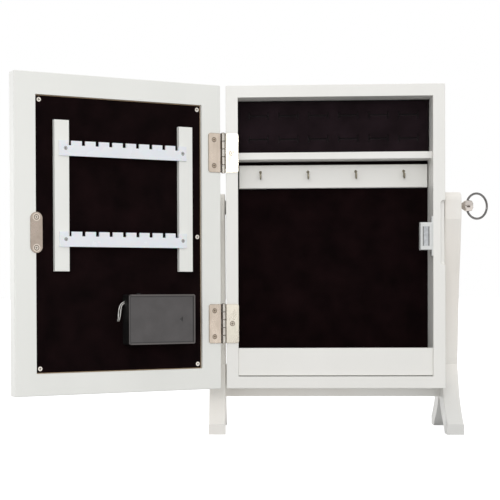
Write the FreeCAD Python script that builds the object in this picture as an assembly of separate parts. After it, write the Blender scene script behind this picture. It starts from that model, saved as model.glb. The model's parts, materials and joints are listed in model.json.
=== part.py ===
"""Table-top jewelry mirror cabinet on a tilting stand, with its door open as photographed.

Millimetres. X runs to the viewer's right, Y away from the viewer, Z up from the table.
Everything is first built about the middle of the cabinet's front edge; put() then moves
it so that the origin is the middle of the floor area that the open cabinet takes up.
"""
import FreeCAD, Part
import math
import os

V = FreeCAD.Vector

# ---------------------------------------------------------------- driving dimensions
# cabinet box
cab_w = 273.0            # outside width
cab_h = 380.0            # outside height
cab_d = 60.0             # front edge to back
board_t = 15.0           # side, top and bottom boards
edge_r = 1.0             # eased edges of cabinet and door
cab_lift = 58.0          # table to the underside of the cabinet
back_t = 8.0             # back panel, let into the boards from behind
back_play = 0.2
velvet_t = 1.5           # black lining on the back and in the tray
back_lap = 7.5           # how far the back panel laps each board
back_screw_inset = 40.0  # back panel screws from the panel's corners
# wood screws: (head diameter, shank diameter, length, head depth)
back_screw = (5.6, 2.8, 18.0, 1.4)
beam_screw = (8.0, 5.0, 55.0, 2.6)
cab_leaf_screw = (5.2, 2.6, 12.0, 1.4)
door_leaf_screw = (5.2, 2.6, 10.5, 1.4)
panel_screw = (5.6, 2.6, 9.0, 1.4)
bar_screw = (4.6, 2.4, 7.0, 1.3)
strike_screw = (5.0, 2.6, 12.0, 1.4)
catch_screw = (4.6, 2.6, 11.0, 1.4)
# ring cushion and shelf
shelf_t = 8.5
shelf_drop = 83.0        # cabinet top to the shelf's top
shelf_setback = 14.0     # cabinet front to the shelf's front
cushion_setback = 32.0   # cabinet front to the cushion's face
cushion_round = 5.0      # rounding of the cushion's front edges
slit_cols = 6
slit_rows = 2
slit_pitch_x = 38.0
slit_pitch_z = 30.0
slit_len = 24.0
slit_tick = 7.0          # height of the cross cuts that end each slit
slit_gap = 1.0           # width of a cut
slit_deep = 12.0
slit_first = 18.7        # shelf top to the lower row
# necklace hooks
rail_h = 29.5
rail_t = 9.5
rail_gap = 5.0           # shelf underside to the rail
rail_play = 1.5          # rail end to the side board
hook_count = 4
hook_pitch = 60.8
hook_shift = -1.5        # row of hooks left of the middle
hook_wire = 2.0
hook_flange_d = 3.6
hook_flange_t = 0.8
hook_reach = 12.6        # rail face to the hook's front
hook_out = 3.6           # rail face to the hook's shank
hook_drop = 8.9          # how far the hook hangs
hook_lip = 5.6           # how far its tip rises
hook_bow = 3.3           # bend radius of the wire
hook_rise = 20.6         # rail underside to the hook's shank
# tray
tray_h = 34.5
tray_t = 9.0
tray_setback = 3.0
tray_gap = 1.0           # dark line under the tray front
# finger pull in the right front edge
pull_w = 6.0
pull_h = 81.0
pull_d = 9.0
pull_mid = 194.5         # above the cabinet's underside
pull_r = 4.0
# tilting stand
pivot_up = 229.5         # pivot above the cabinet's underside
pivot_in = 35.0          # pivot behind the cabinet's front
side_gap = 1.8           # cabinet side to the stand
side_t = 21.0            # stand board
side_round = 1.5         # its eased edges
post_top = 17.0          # top of the post above the pivot
post_w = 36.0            # post width at the top
post_round = 11.0        # its top corners
# front edge of the post: (height above the table, how far it lies behind the top's front)
post_lean = ((270, 0), (250, 5), (226, 9.8), (205, 16), (181, 21.5), (150, 26), (117, 30.5), (93, 34))
foot_front = 0.0         # toe behind the cabinet's front
foot_mid = 70.0          # middle of the foot behind the cabinet's front
toe_h = 13.0             # upright front of the toe
nib = (17.4, 86.0)       # notch where post and foot meet: from the foot's middle, above the table
# upper edge of the foot: (distance from the foot's middle, height above the table)
foot_top = ((18.4, 84.0), (21.3, 77.5), (26.5, 65), (34, 48.5), (44.5, 34.5), (54.5, 24.5), (64, 16.5), (70, 13))
# hollow under the foot, the same way
foot_arch = ((50, 0), (45, 3.6), (38, 9), (28, 16), (19, 23.5), (11, 32.5), (5, 40.3), (0, 42.3))
beam_t = 15.0            # stretcher
beam_gap = 6.0           # cabinet's back to the stretcher
beam_z = 43.0            # its underside
beam_h = 42.0
# clamp knobs and pivots
shaft_d = 6.0
shaft_play = 0.05        # radial running clearance
insert_d = 10.0
insert_l = 13.0
bush_d = 9.0
bush_flange_d = 18.0
bush_flange_t = 1.2
knob_play = 0.35         # knob collar to the post
knob_head_d = 14.4
knob_l = 16.8
knob_hole_d = 5.4
knob_hole_x = 9.3        # ring hole from the knob's inner end
ring_r = 16.0            # to the middle of the wire
ring_wire = 2.8
ring_turn = -28.0        # ring turned away from the viewer
# hinges
open_deg = 150.0         # door opening in the photograph
axis_out = 3.4           # hinge axis outside the cabinet's side
axis_fwd = 1.5           # hinge axis in front of the cabinet
edge_gap = 2.9           # hinge axis to the door's edge
leaf_t = 1.2
leaf_h = 49.0
leaf_cab = 15.8          # leaf width on the cabinet, from its edge
leaf_door = 17.4         # leaf width on the door, from its edge
leaf_r = 3.0
barrel_d = 5.5
pin_d = 3.0
knuckles = 5
knuckle_gap = 0.3
hinge_up = (81.7, 295.5)  # middles above the cabinet's underside
leaf_screw_z = 16.2     # door screws above and below the leaf's middle
leaf_screw_s = 9.7       # from the door's edge
leaf_screw_c = 7.6       # from the cabinet's edge
# door
door_w = 273.5
door_t = 16.0
stile_w = 26.7           # seen from inside
rail_w = 26.2
ledge_w = 36.0           # step that carries the inner panel
lip_w = 40.0             # width of the frame seen from the mirror side
lip_t = 3.2
lip_bevel = 1.6          # bevel round the mirror
ledge_d = 6.4            # inner face to the ledge
glass_t = 2.0
glass_play = 0.5
panel_t = 3.0
door_velvet_t = 1.0
door_velvet_in = 0.8     # raw edge of the inner panel left bare round the velvet
panel_play = 0.2
panel_screw_in = 32.0    # lining screws from the door's edges
# light strip behind the glass
strip_w = 8.0
strip_t = 1.2
strip_in = 12.0          # glass edge to the strip
chip_l = 3.5
chip_t = 0.8
# earring holder: two upright slats and two notched rails
slat_w = 18.7
slat_t = 5.6
slat_round = 0.8
slat_l = 178.5
slat_z = 146.5           # foot of the slats above the door's bottom
slat_a = 41.2            # door's hinge edge to one slat
slat_b = 49.2            # door's free edge to the other
bar_t = 2.0
bar_h = 17.8
bar_in_a = 9.4           # bar's ends inside the slats' outer edges
bar_in_b = 5.2
bar_z = (175.6, 282.8)
notch_n = 9
notch_in = 13.3          # bar's end to the first notch
notch_w = 4.4
notch_d = 5.4
bar_screw_a = 5.2        # bar's ends to the screws
bar_screw_b = 8.1
# strike plate and magnetic catch
strike_w = 14.8
strike_h = 48.0
strike_t = 1.2
strike_mid = 27.0        # from the door's free edge
strike_up = 192.0
strike_screw_in = 6.0
catch_up = 190.0
catch_h = 34.4
catch_w = 14.0
catch_d = 13.0
catch_out = -0.8         # housing's front before the cabinet's front
flange_h = 50.0
flange_t = 2.0
flange_d = 11.0
magnet_w = 6.0
magnet_h = 24.0
magnet_d = 9.0
pole_t = 1.0
pole_out = 0.5           # poles proud of the housing
# battery box
bat_a = 45.9             # from the door's hinge edge
bat_w = 88.9
bat_z = 58.4
bat_h = 60.3
bat_d = 20.0
bat_wall = 1.5
bat_floor = 1.5
bat_groove = 0.8         # lid groove in the walls
lid_t = 1.6
lid_play = 0.3
lid_drop = 1.0           # lid below the rim
cell_d = 14.0
cell_l = 49.0
cell_nub_d = 5.4
cell_nub_l = 1.4
cell_n = 4
cell_a = 6.5             # hinge-side wall to the cells
contact_t = 0.6
board_a = 60.5           # start of the circuit board from the box's hinge-side wall
pcb_t = 1.2
switch_w = 5.0
switch_h = 3.0
switch_out = 1.6
switch_travel = 4.0
switch_at = 72.0         # from the box's hinge-side wall
# lead to the lights
lead_d = 1.3
lead_up = 109.6          # where the strands leave the battery box, above the door's bottom
lead_down = 92.0         # middle of the slot that they go in through
lead_apart = 1.7         # between the strands
lead_bow = 7.6           # how far they bow out from the box
lead_hole_out = 5.3      # slot's middle from the box
lead_hole_w = 4.6
lead_hole_h = 13.0
lead_exit_w = 4.0        # notch in the box's wall
lead_exit_h = 6.0

# ---------------------------------------------------------------- derived places
half = cab_w / 2
inner = half - board_t
z_bot = cab_lift
z_top = cab_lift + cab_h
z_floor = z_bot + board_t
lining_y = cab_d - back_t - velvet_t
shelf_top = z_top - shelf_drop
rail_top = shelf_top - shelf_t - rail_gap
pivot_z = z_bot + pivot_up
post_in = half + side_gap
post_out = post_in + side_t
axis_x = -half - axis_out
axis_y = -axis_fwd
door_x0 = axis_x + edge_gap          # hinge edge of the closed door
door_x1 = door_x0 + door_w
door_y1 = axis_y - axis_fwd          # inner face of the closed door
door_y0 = door_y1 - door_t
panel_y = door_y1 - ledge_d          # seat of the inner panel
felt_y = panel_y + panel_t + door_velvet_t
glass_y = door_y0 + lip_t
knob_x = post_out + knob_play
hole_x = knob_x + knob_hole_x
ring_sag = ring_r - math.sqrt(ring_r ** 2 - (knob_head_d / 2) ** 2)
beam_y = cab_d + beam_gap
beam_mid = beam_y + beam_t / 2
foot_back = 2 * foot_mid - foot_front


# ---------------------------------------------------------------- small helpers
def box(x0, x1, y0, y1, z0, z1):
    return Part.makeBox(x1 - x0, y1 - y0, z1 - z0, V(x0, y0, z0))


def eased(block, r):
    """Block with all its edges rounded."""
    return block.makeFillet(r, block.Edges)


def rod(p, d, r, length):
    return Part.makeCylinder(r, length, V(*p), V(*d))


def fuse(shapes):
    out = shapes[0].multiFuse(shapes[1:]) if len(shapes) > 1 else shapes[0]
    return out.removeSplitter()


def turned(points, origin, direction):
    """Solid turned from (along, radius) points about a line."""
    wire = Part.makePolygon([V(r, 0, a) for a, r in points] + [V(points[0][1], 0, points[0][0])])
    body = Part.Face(wire).revolve(V(0, 0, 0), V(0, 0, 1), 360)
    body.Placement = FreeCAD.Placement(V(*origin), FreeCAD.Rotation(V(0, 0, 1), V(*direction)))
    return body


def screw_hole(p, d, size):
    """Room of a countersunk screw: p is the middle of its head, d points into the wood."""
    head_d, shank_d, length, head_t = size
    rim = head_t * 0.2
    pts = [(0, 0), (0, head_d / 2), (rim, head_d / 2), (head_t, shank_d / 2),
           (length - shank_d, shank_d / 2), (length, shank_d * 0.08), (length, 0)]
    return turned(pts, p, d)


def screw(p, d, size):
    """The screw itself, with its cross recess."""
    head_d, shank_d, length, head_t = size
    body = screw_hole(p, d, size)
    side = V(0, 0, 1) if abs(d[2]) < 0.5 else V(1, 0, 0)
    arm = V(*d).cross(side)
    wide, thin, deep = head_d * 0.6, head_d * 0.12, head_t * 0.55
    for a, b in ((side, arm), (arm, side)):
        corner = V(*p) - a * (wide / 2) - b * (thin / 2) - V(*d) * deep * 0.2
        slot = Part.makePolygon([corner, corner + a * wide, corner + a * wide + b * thin,
                                 corner + b * thin, corner])
        body = body.cut(Part.Face(slot).extrude(V(*d) * deep * 1.2))
    return body


def rounded_plate(w, h, t, r):
    """Plate in XZ, middle at the origin, from y = 0 to y = t, with rounded corners."""
    body = box(-w / 2, w / 2, 0, t, -h / 2, h / 2)
    edges = [e for e in body.Edges if abs(e.tangentAt(e.FirstParameter).y) > 0.99]
    return body.makeFillet(r, edges)


def tube_path(points, radius_of):
    """Straight runs joined by tangent arcs through a list of points."""
    pts = [V(*p) for p in points]
    edges, start, radii = [], pts[0], []
    for a, b, c in zip(pts, pts[1:], pts[2:]):
        u, w = (a - b).normalize(), (c - b).normalize()
        turn = math.pi - math.acos(max(-1.0, min(1.0, u.dot(w))))
        r = radius_of((a - b).Length, (c - b).Length, turn)
        reach = r * math.tan(turn / 2)
        p0, p1 = b + u * reach, b + w * reach
        mid = b + (u + w).normalize() * (r / math.cos(turn / 2) - r)
        edges += [Part.LineSegment(start, p0).toShape(), Part.Arc(p0, mid, p1).toShape()]
        start = p1
        radii.append(round(r, 1))
    edges.append(Part.LineSegment(start, pts[-1]).toShape())
    return Part.Wire(edges), radii


def tube(points, d, label):
    """Round tube along a path of runs and arcs, each arc as large as its runs allow."""
    wire, radii = tube_path(points, lambda a, b, t: 0.45 * min(a, b) / math.tan(t / 2))
    first = V(*points[1]) - V(*points[0])
    ring = Part.Wire([Part.makeCircle(d / 2, V(*points[0]), first)])
    body = wire.makePipeShell([ring], True, False)
    print(label, "radii", radii, "volume", round(body.Volume, 2),
          "section times length", round(math.pi * d * d / 4 * wire.Length, 2))
    return body


# ---------------------------------------------------------------- places
def swing(shape):
    """Carries a piece of the closed door to where the open door holds it."""
    out = shape.copy()
    out.rotate(V(axis_x, axis_y, 0), V(0, 0, 1), -open_deg)
    return out


def footprint():
    """Left, right, front and back limits of the open cabinet on its stand."""
    a = math.radians(open_deg)
    reach, thick = edge_gap + door_w, axis_fwd + door_t
    left = axis_x + reach * math.cos(a) - thick * math.sin(a)
    front = axis_y - reach * math.sin(a) - axis_fwd * math.cos(a)
    t = math.radians(ring_turn)
    right = hole_x + (2 * ring_r - ring_sag / 2) * math.cos(t) + ring_wire / 2
    return left, right, front, foot_back


left, right, front, back = footprint()
shift = V(-(left + right) / 2, -(front + back) / 2, 0)
print("shift", round(shift.x, 3), round(shift.y, 3))
nodes = {}


def put(name, shapes, door=False):
    """Keeps a named piece, in its place in the finished part."""
    shapes = shapes if isinstance(shapes, list) else [shapes]
    placed = []
    for s in shapes:
        s = swing(s) if door else s.copy()
        s.translate(shift)
        placed.append(s)
    nodes[name] = placed[0] if len(placed) == 1 else Part.makeCompound(placed)


# ---------------------------------------------------------------- cabinet
def pull_cut():
    """Finger scoop in the right front edge of the cabinet."""
    mid = z_bot + pull_mid
    body = box(half - pull_w, half + pull_r, -pull_r, pull_d, mid - pull_h / 2, mid + pull_h / 2)
    edges = [e for e in body.Edges if abs(e.tangentAt(e.FirstParameter).y) > 0.99
             and e.CenterOfMass.x < half]
    body = body.makeFillet(pull_r, edges)
    edges = [e for e in body.Edges if e.BoundBox.YMin > pull_d - 0.01 and e.CenterOfMass.x < half]
    return body.makeFillet(pull_r - 0.5, edges)


def insert_hole(side):
    return rod((side * (half - insert_l), pivot_in, pivot_z), (side, 0, 0), insert_d / 2, insert_l + 1)


def cab_screws():
    """Places of the cabinet leaves' screws: one in the middle of each leaf."""
    return [((-half + leaf_screw_c, -leaf_t, z_bot + h), (0, 1, 0)) for h in hinge_up]


def catch_screws():
    mid = (flange_h + catch_h) / 4
    return [((inner - flange_t, catch_out + flange_d / 2 + 1.2, z_bot + catch_up + s * mid), (1, 0, 0))
            for s in (-1, 1)]


def back_screws():
    """Eight screws from behind, through the panel's edges into the boards."""
    x, lo, hi = inner + back_lap / 2, z_floor - back_lap / 2, z_top - board_t + back_lap / 2
    side_zs = (lo + back_screw_inset, (lo + hi) / 2, hi - back_screw_inset)
    places = [(sx * x, cab_d, z) for sx in (-1, 1) for z in side_zs]
    places += [(0, cab_d, z) for z in (lo, hi)]
    return [(p, (0, -1, 0)) for p in places]


def back_room(play=0.0):
    """Space of the back panel, let into all four boards."""
    e = back_lap - play
    return box(-inner - e, inner + e, cab_d - back_t, cab_d, z_floor - e, z_top - board_t + e)


def shell():
    """Outside of the whole cabinet, from which the boards are cut."""
    return eased(box(-half, half, 0, cab_d, z_bot, z_top), edge_r)


def side_boards():
    for side, name in ((-1, "cabinet_side_left"), (1, "cabinet_side_right")):
        x0, x1 = sorted((side * inner, side * half))
        body = shell().common(box(x0, x1, 0, cab_d, z_bot, z_top))
        body = body.cut(insert_hole(side))
        if side > 0:
            body = body.cut(pull_cut())
            for p, d in catch_screws():
                body = body.cut(screw_hole(p, d, catch_screw))
        else:
            for p, d in cab_screws():
                body = body.cut(screw_hole(p, d, cab_leaf_screw))
        put(name, cut_back(body))


def cut_back(body):
    body = body.cut(back_room(-back_play))
    for p, d in back_screws():
        body = body.cut(screw_hole(p, d, back_screw))
    return body


def cabinet_box():
    side_boards()
    put("cabinet_top", cut_back(shell().common(box(-inner, inner, 0, cab_d, z_top - board_t, z_top))))
    put("cabinet_bottom", cut_back(shell().common(box(-inner, inner, 0, cab_d, z_bot, z_floor))))
    panel = back_room()
    for p, d in back_screws():
        panel = panel.cut(screw_hole(p, d, back_screw))
    put("back_panel", panel)
    put("back_screws", [screw(p, d, back_screw) for p, d in back_screws()])
    put("back_lining", box(-inner, inner, lining_y, lining_y + velvet_t, z_floor, z_top - board_t))
    put("shelf", box(-inner, inner, shelf_setback, lining_y, shelf_top - shelf_t, shelf_top))


def ring_cushion():
    body = box(-inner, inner, cushion_setback, lining_y, shelf_top, z_top - board_t)
    edges = [e for e in body.Edges if e.BoundBox.YMax < cushion_setback + 0.01]
    body = body.makeFillet(cushion_round, edges)
    y0, y1 = cushion_setback - 1, cushion_setback + slit_deep
    g, cuts = slit_gap / 2, []
    for row in range(slit_rows):
        z = shelf_top + slit_first + row * slit_pitch_z
        for col in range(slit_cols):
            x = (col - (slit_cols - 1) / 2) * slit_pitch_x
            parts = [box(x - slit_len / 2, x + slit_len / 2, y0, y1, z - g, z + g)]
            parts += [box(x + s * slit_len / 2 - g, x + s * slit_len / 2 + g, y0, y1,
                          z - slit_tick / 2, z + slit_tick / 2) for s in (-1, 1)]
            cuts.append(fuse(parts))
    put("ring_cushion", body.cut(Part.makeCompound(cuts)))


def hook(x, y, z):
    """Cup hook: shank out of the flange, down, and round to an upturned tip."""
    near, far = y - hook_out, y - hook_reach + hook_wire / 2
    pts = [(x, y + 7, z), (x, near, z), (x, near, z - hook_drop), (x, far, z - hook_drop),
           (x, far, z - hook_drop + hook_lip)]
    wire, radii = tube_path(pts, lambda a, b, t: hook_bow)
    ring = Part.Wire([Part.makeCircle(hook_wire / 2, V(*pts[0]), V(*pts[1]) - V(*pts[0]))])
    body = wire.makePipeShell([ring], True, False)
    flange = turned([(0, 0), (0, hook_flange_d / 2), (0.4, hook_flange_d / 2), (hook_flange_t, hook_wire / 2),
                     (hook_flange_t, 0)], (x, y, z), (0, -1, 0))
    return fuse([body, flange])


def necklace_rail():
    y0 = lining_y - rail_t
    w = inner - rail_play
    body = box(-w, w, y0, lining_y, rail_top - rail_h, rail_top)
    edges = [e for e in body.Edges if e.BoundBox.YMax < y0 + 0.01]
    body = body.makeFillet(1.0, edges)
    z = rail_top - rail_h + hook_rise
    xs = [(i - (hook_count - 1) / 2) * hook_pitch + hook_shift for i in range(hook_count)]
    for x in xs:
        body = body.cut(rod((x, y0 - 1, z), (0, 1, 0), hook_wire / 2, 8))
    put("necklace_rail", body)
    put("necklace_hooks", [hook(x, y0, z) for x in xs])


def tray():
    z0 = z_floor + tray_gap
    front_board = box(-inner, inner, tray_setback, tray_setback + tray_t, z0, z0 + tray_h)
    edges = [e for e in front_board.Edges if e.BoundBox.YMax < tray_setback + 0.01]
    put("tray_front", front_board.makeFillet(0.8, edges))
    put("tray_lining", box(-inner, inner, tray_setback + tray_t, lining_y, z_floor, z_floor + velvet_t))


def catch():
    """Magnetic catch on the inside of the right board."""
    z, x1 = z_bot + catch_up, inner
    y0 = catch_out
    flange = box(x1 - flange_t, x1, y0 + 1.2, y0 + 1.2 + flange_d, z - flange_h / 2, z + flange_h / 2)
    edges = [e for e in flange.Edges if abs(e.tangentAt(e.FirstParameter).x) > 0.99]
    flange = flange.makeFillet(2.5, edges)
    shell = box(x1 - flange_t - catch_w, x1 - flange_t + 0.5, y0, y0 + catch_d, z - catch_h / 2, z + catch_h / 2)
    edges = [e for e in shell.Edges if e.BoundBox.YMax < y0 + 0.01]
    shell = shell.makeFillet(1.0, edges)
    xm = x1 - flange_t - catch_w / 2
    pocket_w = magnet_w + 2 * pole_t
    pocket = box(xm - pocket_w / 2, xm + pocket_w / 2, y0 - 1, y0 + magnet_d, z - magnet_h / 2, z + magnet_h / 2)
    body = fuse([shell, flange]).cut(pocket)
    for p, d in catch_screws():
        body = body.cut(screw_hole(p, d, catch_screw))
    put("catch_housing", body)
    put("catch_magnet", box(xm - magnet_w / 2, xm + magnet_w / 2, y0 + 0.4, y0 + magnet_d,
                            z - magnet_h / 2, z + magnet_h / 2))
    put("catch_poles", [box(xm + s * magnet_w / 2 - (pole_t if s < 0 else 0),
                            xm + s * magnet_w / 2 + (pole_t if s > 0 else 0),
                            y0 - pole_out, y0 + magnet_d, z - magnet_h / 2, z + magnet_h / 2)
                        for s in (-1, 1)])
    put("catch_screws", [screw(p, d, catch_screw) for p, d in catch_screws()])


# ---------------------------------------------------------------- stand
def spline(points):
    curve = Part.BSplineCurve()
    curve.interpolate([V(0, y, z) for y, z in points])
    return curve.toShape()


def line(a, b):
    return Part.LineSegment(V(0, *a), V(0, *b)).toShape()


def side_outline():
    """Outline of a stand side in YZ: leaning post on an arched foot with splayed toes."""
    top, r = pivot_z + post_top, post_round
    y0, y1 = pivot_in - post_w / 2, pivot_in + post_w / 2
    c = r * (1 - math.sqrt(0.5))
    fore = [(y0 + lean, z) for z, lean in post_lean]
    aft = [(y1 + lean, z) for z, lean in post_lean]
    toe = [(foot_mid - d, z) for d, z in foot_top]
    heel = [(foot_mid + d, z) for d, z in foot_top]
    notch, ledge = (foot_mid - nib[0], nib[1]), (foot_mid + nib[0], nib[1])
    arch = [(foot_mid - d, z) for d, z in foot_arch] + [(foot_mid + d, z) for d, z in foot_arch[-2::-1]]
    edges = [line((y0, fore[0][1]), (y0, top - r)),
             Part.Arc(V(0, y0, top - r), V(0, y0 + c, top - c), V(0, y0 + r, top)).toShape(),
             line((y0 + r, top), (y1 - r, top)),
             Part.Arc(V(0, y1 - r, top), V(0, y1 - c, top - c), V(0, y1, top - r)).toShape(),
             line((y1, top - r), aft[0]), spline(aft), line(aft[-1], ledge), line(ledge, heel[0]),
             spline(heel), line(heel[-1], (foot_back, 0)), line((foot_back, 0), arch[-1]),
             spline(arch), line(arch[0], (foot_front, 0)), line((foot_front, 0), toe[-1]),
             spline(toe), line(toe[0], notch), line(notch, fore[-1]), spline(fore)]
    return Part.Face(Part.Wire(Part.__sortEdges__(edges)))


def beam_screws(side):
    zs = (beam_z + beam_h * 0.25, beam_z + beam_h * 0.75)
    return [((side * post_out, beam_mid, z), (-side, 0, 0)) for z in zs]


def hand_edge(b):
    """Edges of the post and of the foot's upper side, which are eased; sole and arch are not."""
    flat = b.XLength < 0.01
    foot = b.ZMin > toe_h - 0.1 and b.ZMax < nib[1] - 1 and b.ZLength > toe_h
    return flat and (b.ZMin > nib[1] + 1 or foot)


def stand():
    outline = side_outline()
    for side, name in ((-1, "stand_side_left"), (1, "stand_side_right")):
        body = outline.copy()
        body.translate(V(post_in if side > 0 else -post_out, 0, 0))
        body = body.extrude(V(side_t, 0, 0))
        body = body.makeFillet(side_round, [e for e in body.Edges if hand_edge(e.BoundBox)])
        body = body.cut(rod((side * (post_in - 1), pivot_in, pivot_z), (side, 0, 0), bush_d / 2, side_t + 2))
        for p, d in beam_screws(side):
            body = body.cut(screw_hole(p, d, beam_screw))
        put(name, body)
    beam = box(-post_in, post_in, beam_y, beam_y + beam_t, beam_z, beam_z + beam_h)
    for side in (-1, 1):
        for p, d in beam_screws(side):
            beam = beam.cut(screw_hole(p, d, beam_screw))
    put("stand_stretcher", beam)
    put("stretcher_screws", [screw(p, d, beam_screw)
                             for s in (-1, 1) for p, d in beam_screws(s)])


def pivots():
    """Threaded inserts in the cabinet and flanged bushes in the posts."""
    bore = shaft_d / 2 + shaft_play
    for side, tag in ((-1, "left"), (1, "right")):
        at = (side * (half - insert_l), pivot_in, pivot_z)
        body = rod(at, (side, 0, 0), insert_d / 2, insert_l)
        put("pivot_insert_" + tag, body.cut(rod(at, (side, 0, 0), bore, insert_l)))
        at = (side * post_in, pivot_in, pivot_z)
        body = fuse([rod(at, (side, 0, 0), bush_d / 2, side_t),
                     rod(at, (-side, 0, 0), bush_flange_d / 2, bush_flange_t)])
        at = (side * (post_in - 5), pivot_in, pivot_z)
        put("pivot_bush_" + tag, body.cut(rod(at, (side, 0, 0), bore, side_t + 10)))


def knobs():
    r, n = knob_head_d / 2, knob_l
    reach = knob_x - half + insert_l - 1.5       # how far the shaft goes in
    profile = [(-reach, 0), (-reach, shaft_d / 2 - 0.6), (-reach + 0.6, shaft_d / 2), (0, shaft_d / 2),
               (0, r * 0.66), (1.4, r * 0.66), (2.6, r * 0.54), (4.2, r * 0.7), (6.2, r * 0.94),
               (7.6, r), (12.2, r), (n - 1.6, r * 0.9), (n - 0.5, r * 0.66), (n, r * 0.3), (n, 0)]
    wire = ring_wire / 2
    for side, tag in ((-1, "left"), (1, "right")):
        head = turned(profile, (side * knob_x, pivot_in, pivot_z), (side, 0, 0))
        hole = rod((side * hole_x, pivot_in, pivot_z - r - 2), (0, 0, 1), knob_hole_d / 2, 2 * r + 4)
        put("clamp_knob_" + tag, head.cut(hole))
        ring = Part.makeTorus(ring_r, wire, V(side * (hole_x + ring_r - ring_sag / 2), pivot_in, pivot_z), V(0, 1, 0))
        ring.rotate(V(side * hole_x, pivot_in, pivot_z), V(0, 0, 1), -side * ring_turn)
        put("knob_ring_" + tag, ring)


# ---------------------------------------------------------------- hinges
def leaf(x_edge, reach, y0, own, mid):
    """Leaf plate with its share of the knuckles. x_edge and reach place the plate's free end."""
    z0 = mid - leaf_h / 2
    step = leaf_h / knuckles
    end = x_edge + reach
    plate = box(axis_x, end, y0, y0 + leaf_t, z0, z0 + leaf_h)
    edges = [e for e in plate.Edges if abs(e.tangentAt(e.FirstParameter).y) > 0.99
             and abs(e.CenterOfMass.x - end) < 0.01]
    plate = plate.makeFillet(leaf_r, edges)
    body = [plate]
    for i in range(knuckles):
        lo, hi = z0 + i * step, z0 + (i + 1) * step
        if i % 2 == own:
            a = lo + (knuckle_gap / 2 if i else 0)
            b = hi - (knuckle_gap / 2 if i < knuckles - 1 else 0)
            body.append(rod((axis_x, axis_y, a), (0, 0, 1), barrel_d / 2, b - a))
    body = fuse(body)
    for i in range(knuckles):
        if i % 2 != own:
            a, b = z0 + i * step - knuckle_gap / 2, z0 + (i + 1) * step + knuckle_gap / 2
            body = body.cut(rod((axis_x, axis_y, a), (0, 0, 1), barrel_d / 2 + 0.35, b - a))
    bore = pin_d / 2 + (shaft_play if own else 0)
    return body.cut(rod((axis_x, axis_y, z0 - 2), (0, 0, 1), bore, leaf_h + 4))


def door_leaf_screws():
    return [((door_x0 + leaf_screw_s, door_y1 + leaf_t, z_bot + h + s * leaf_screw_z), (0, -1, 0))
            for h in hinge_up for s in (-1, 1)]


def hinges():
    pins = []
    for h, tag in zip(hinge_up, ("lower", "upper")):
        mid = z_bot + h
        fixed = leaf(-half, leaf_cab, -leaf_t, 0, mid)
        for p, d in cab_screws():
            fixed = fixed.cut(screw_hole(p, d, cab_leaf_screw))
        put("hinge_leaf_cabinet_" + tag, fixed)
        moving = leaf(door_x0, leaf_door, door_y1, 1, mid)
        for p, d in door_leaf_screws():
            moving = moving.cut(screw_hole(p, d, door_leaf_screw))
        put("hinge_leaf_door_" + tag, moving, door=True)
        z0 = mid - leaf_h / 2
        shank = rod((axis_x, axis_y, z0), (0, 0, 1), pin_d / 2, leaf_h)
        heads = [turned([(0, 0), (0, 2.2), (0.6, 2.2), (1.1, 1.4), (1.2, 0)],
                        (axis_x, axis_y, z), (0, 0, s)) for z, s in ((z0, -1), (z0 + leaf_h, 1))]
        pins.append(fuse([shank] + heads))
    put("hinge_pins", pins)
    put("hinge_screws_cabinet", [screw(p, d, cab_leaf_screw) for p, d in cab_screws()])
    put("hinge_screws_door", [screw(p, d, door_leaf_screw) for p, d in door_leaf_screws()], door=True)


# ---------------------------------------------------------------- door
def window(margin_x, margin_z, y0, y1):
    return box(door_x0 + margin_x, door_x1 - margin_x, y0, y1, z_bot + margin_z, z_top - margin_z)


def rect(margin, y):
    """Outline of a window at one depth."""
    x0, x1, z0, z1 = door_x0 + margin, door_x1 - margin, z_bot + margin, z_top - margin
    return Part.makePolygon([V(x0, y, z0), V(x1, y, z0), V(x1, y, z1), V(x0, y, z1), V(x0, y, z0)])


def panel_screws():
    s, y = panel_screw_in, felt_y
    xs, zs = (door_x0 + s, door_x1 - s), (z_bot + s, z_top - s)
    places = [(x, y, z) for x in xs for z in zs] + [(xs[0], y, z_bot + cab_h / 2)]
    return [(p, (0, -1, 0)) for p in places]


def strike_screws():
    x = door_x1 - strike_mid
    reach = strike_h / 2 - strike_screw_in
    return [((x, door_y1 + strike_t, z_bot + strike_up + s * reach), (0, -1, 0)) for s in (-1, 1)]


def door_frame():
    """Four mitred members round the glass and the inner panel."""
    frame = eased(box(door_x0, door_x1, door_y0, door_y1, z_bot, z_top), edge_r)
    frame = frame.cut(window(stile_w, rail_w, panel_y, door_y1 + 1))
    frame = frame.cut(window(ledge_w, ledge_w, glass_y, panel_y + 1))
    lip = window(lip_w, lip_w, door_y0, glass_y + 1)
    frame = frame.cut(lip)
    bevel = Part.makeLoft([rect(lip_w - lip_bevel, door_y0), rect(lip_w, door_y0 + lip_bevel)], True)
    frame = frame.cut(bevel)
    for places, size in ((panel_screws(), panel_screw), (strike_screws(), strike_screw),
                         (door_leaf_screws(), door_leaf_screw)):
        for p, d in places:
            frame = frame.cut(screw_hole(p, d, size))
    far, mid_x, mid_z = lip_w + 8, (door_x0 + door_x1) / 2, (z_bot + z_top) / 2
    for name, corner, along in (("door_stile_hinge", (door_x0, z_bot), "z"),
                                ("door_stile_latch", (door_x1, z_bot), "z"),
                                ("door_rail_bottom", (door_x0, z_bot), "x"),
                                ("door_rail_top", (door_x0, z_top), "x")):
        x, z = corner
        if along == "z":
            s = 1 if x < mid_x else -1
            quad = [(x, z), (x + s * far, z + far), (x + s * far, z_top - far), (x, z_top)]
        else:
            s = 1 if z < mid_z else -1
            quad = [(x, z), (x + far, z + s * far), (door_x1 - far, z + s * far), (door_x1, z)]
        wire = Part.makePolygon([V(a, door_y0 - 1, b) for a, b in quad + quad[:1]])
        put(name, frame.common(Part.Face(wire).extrude(V(0, door_t + 2, 0))), door=True)


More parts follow.
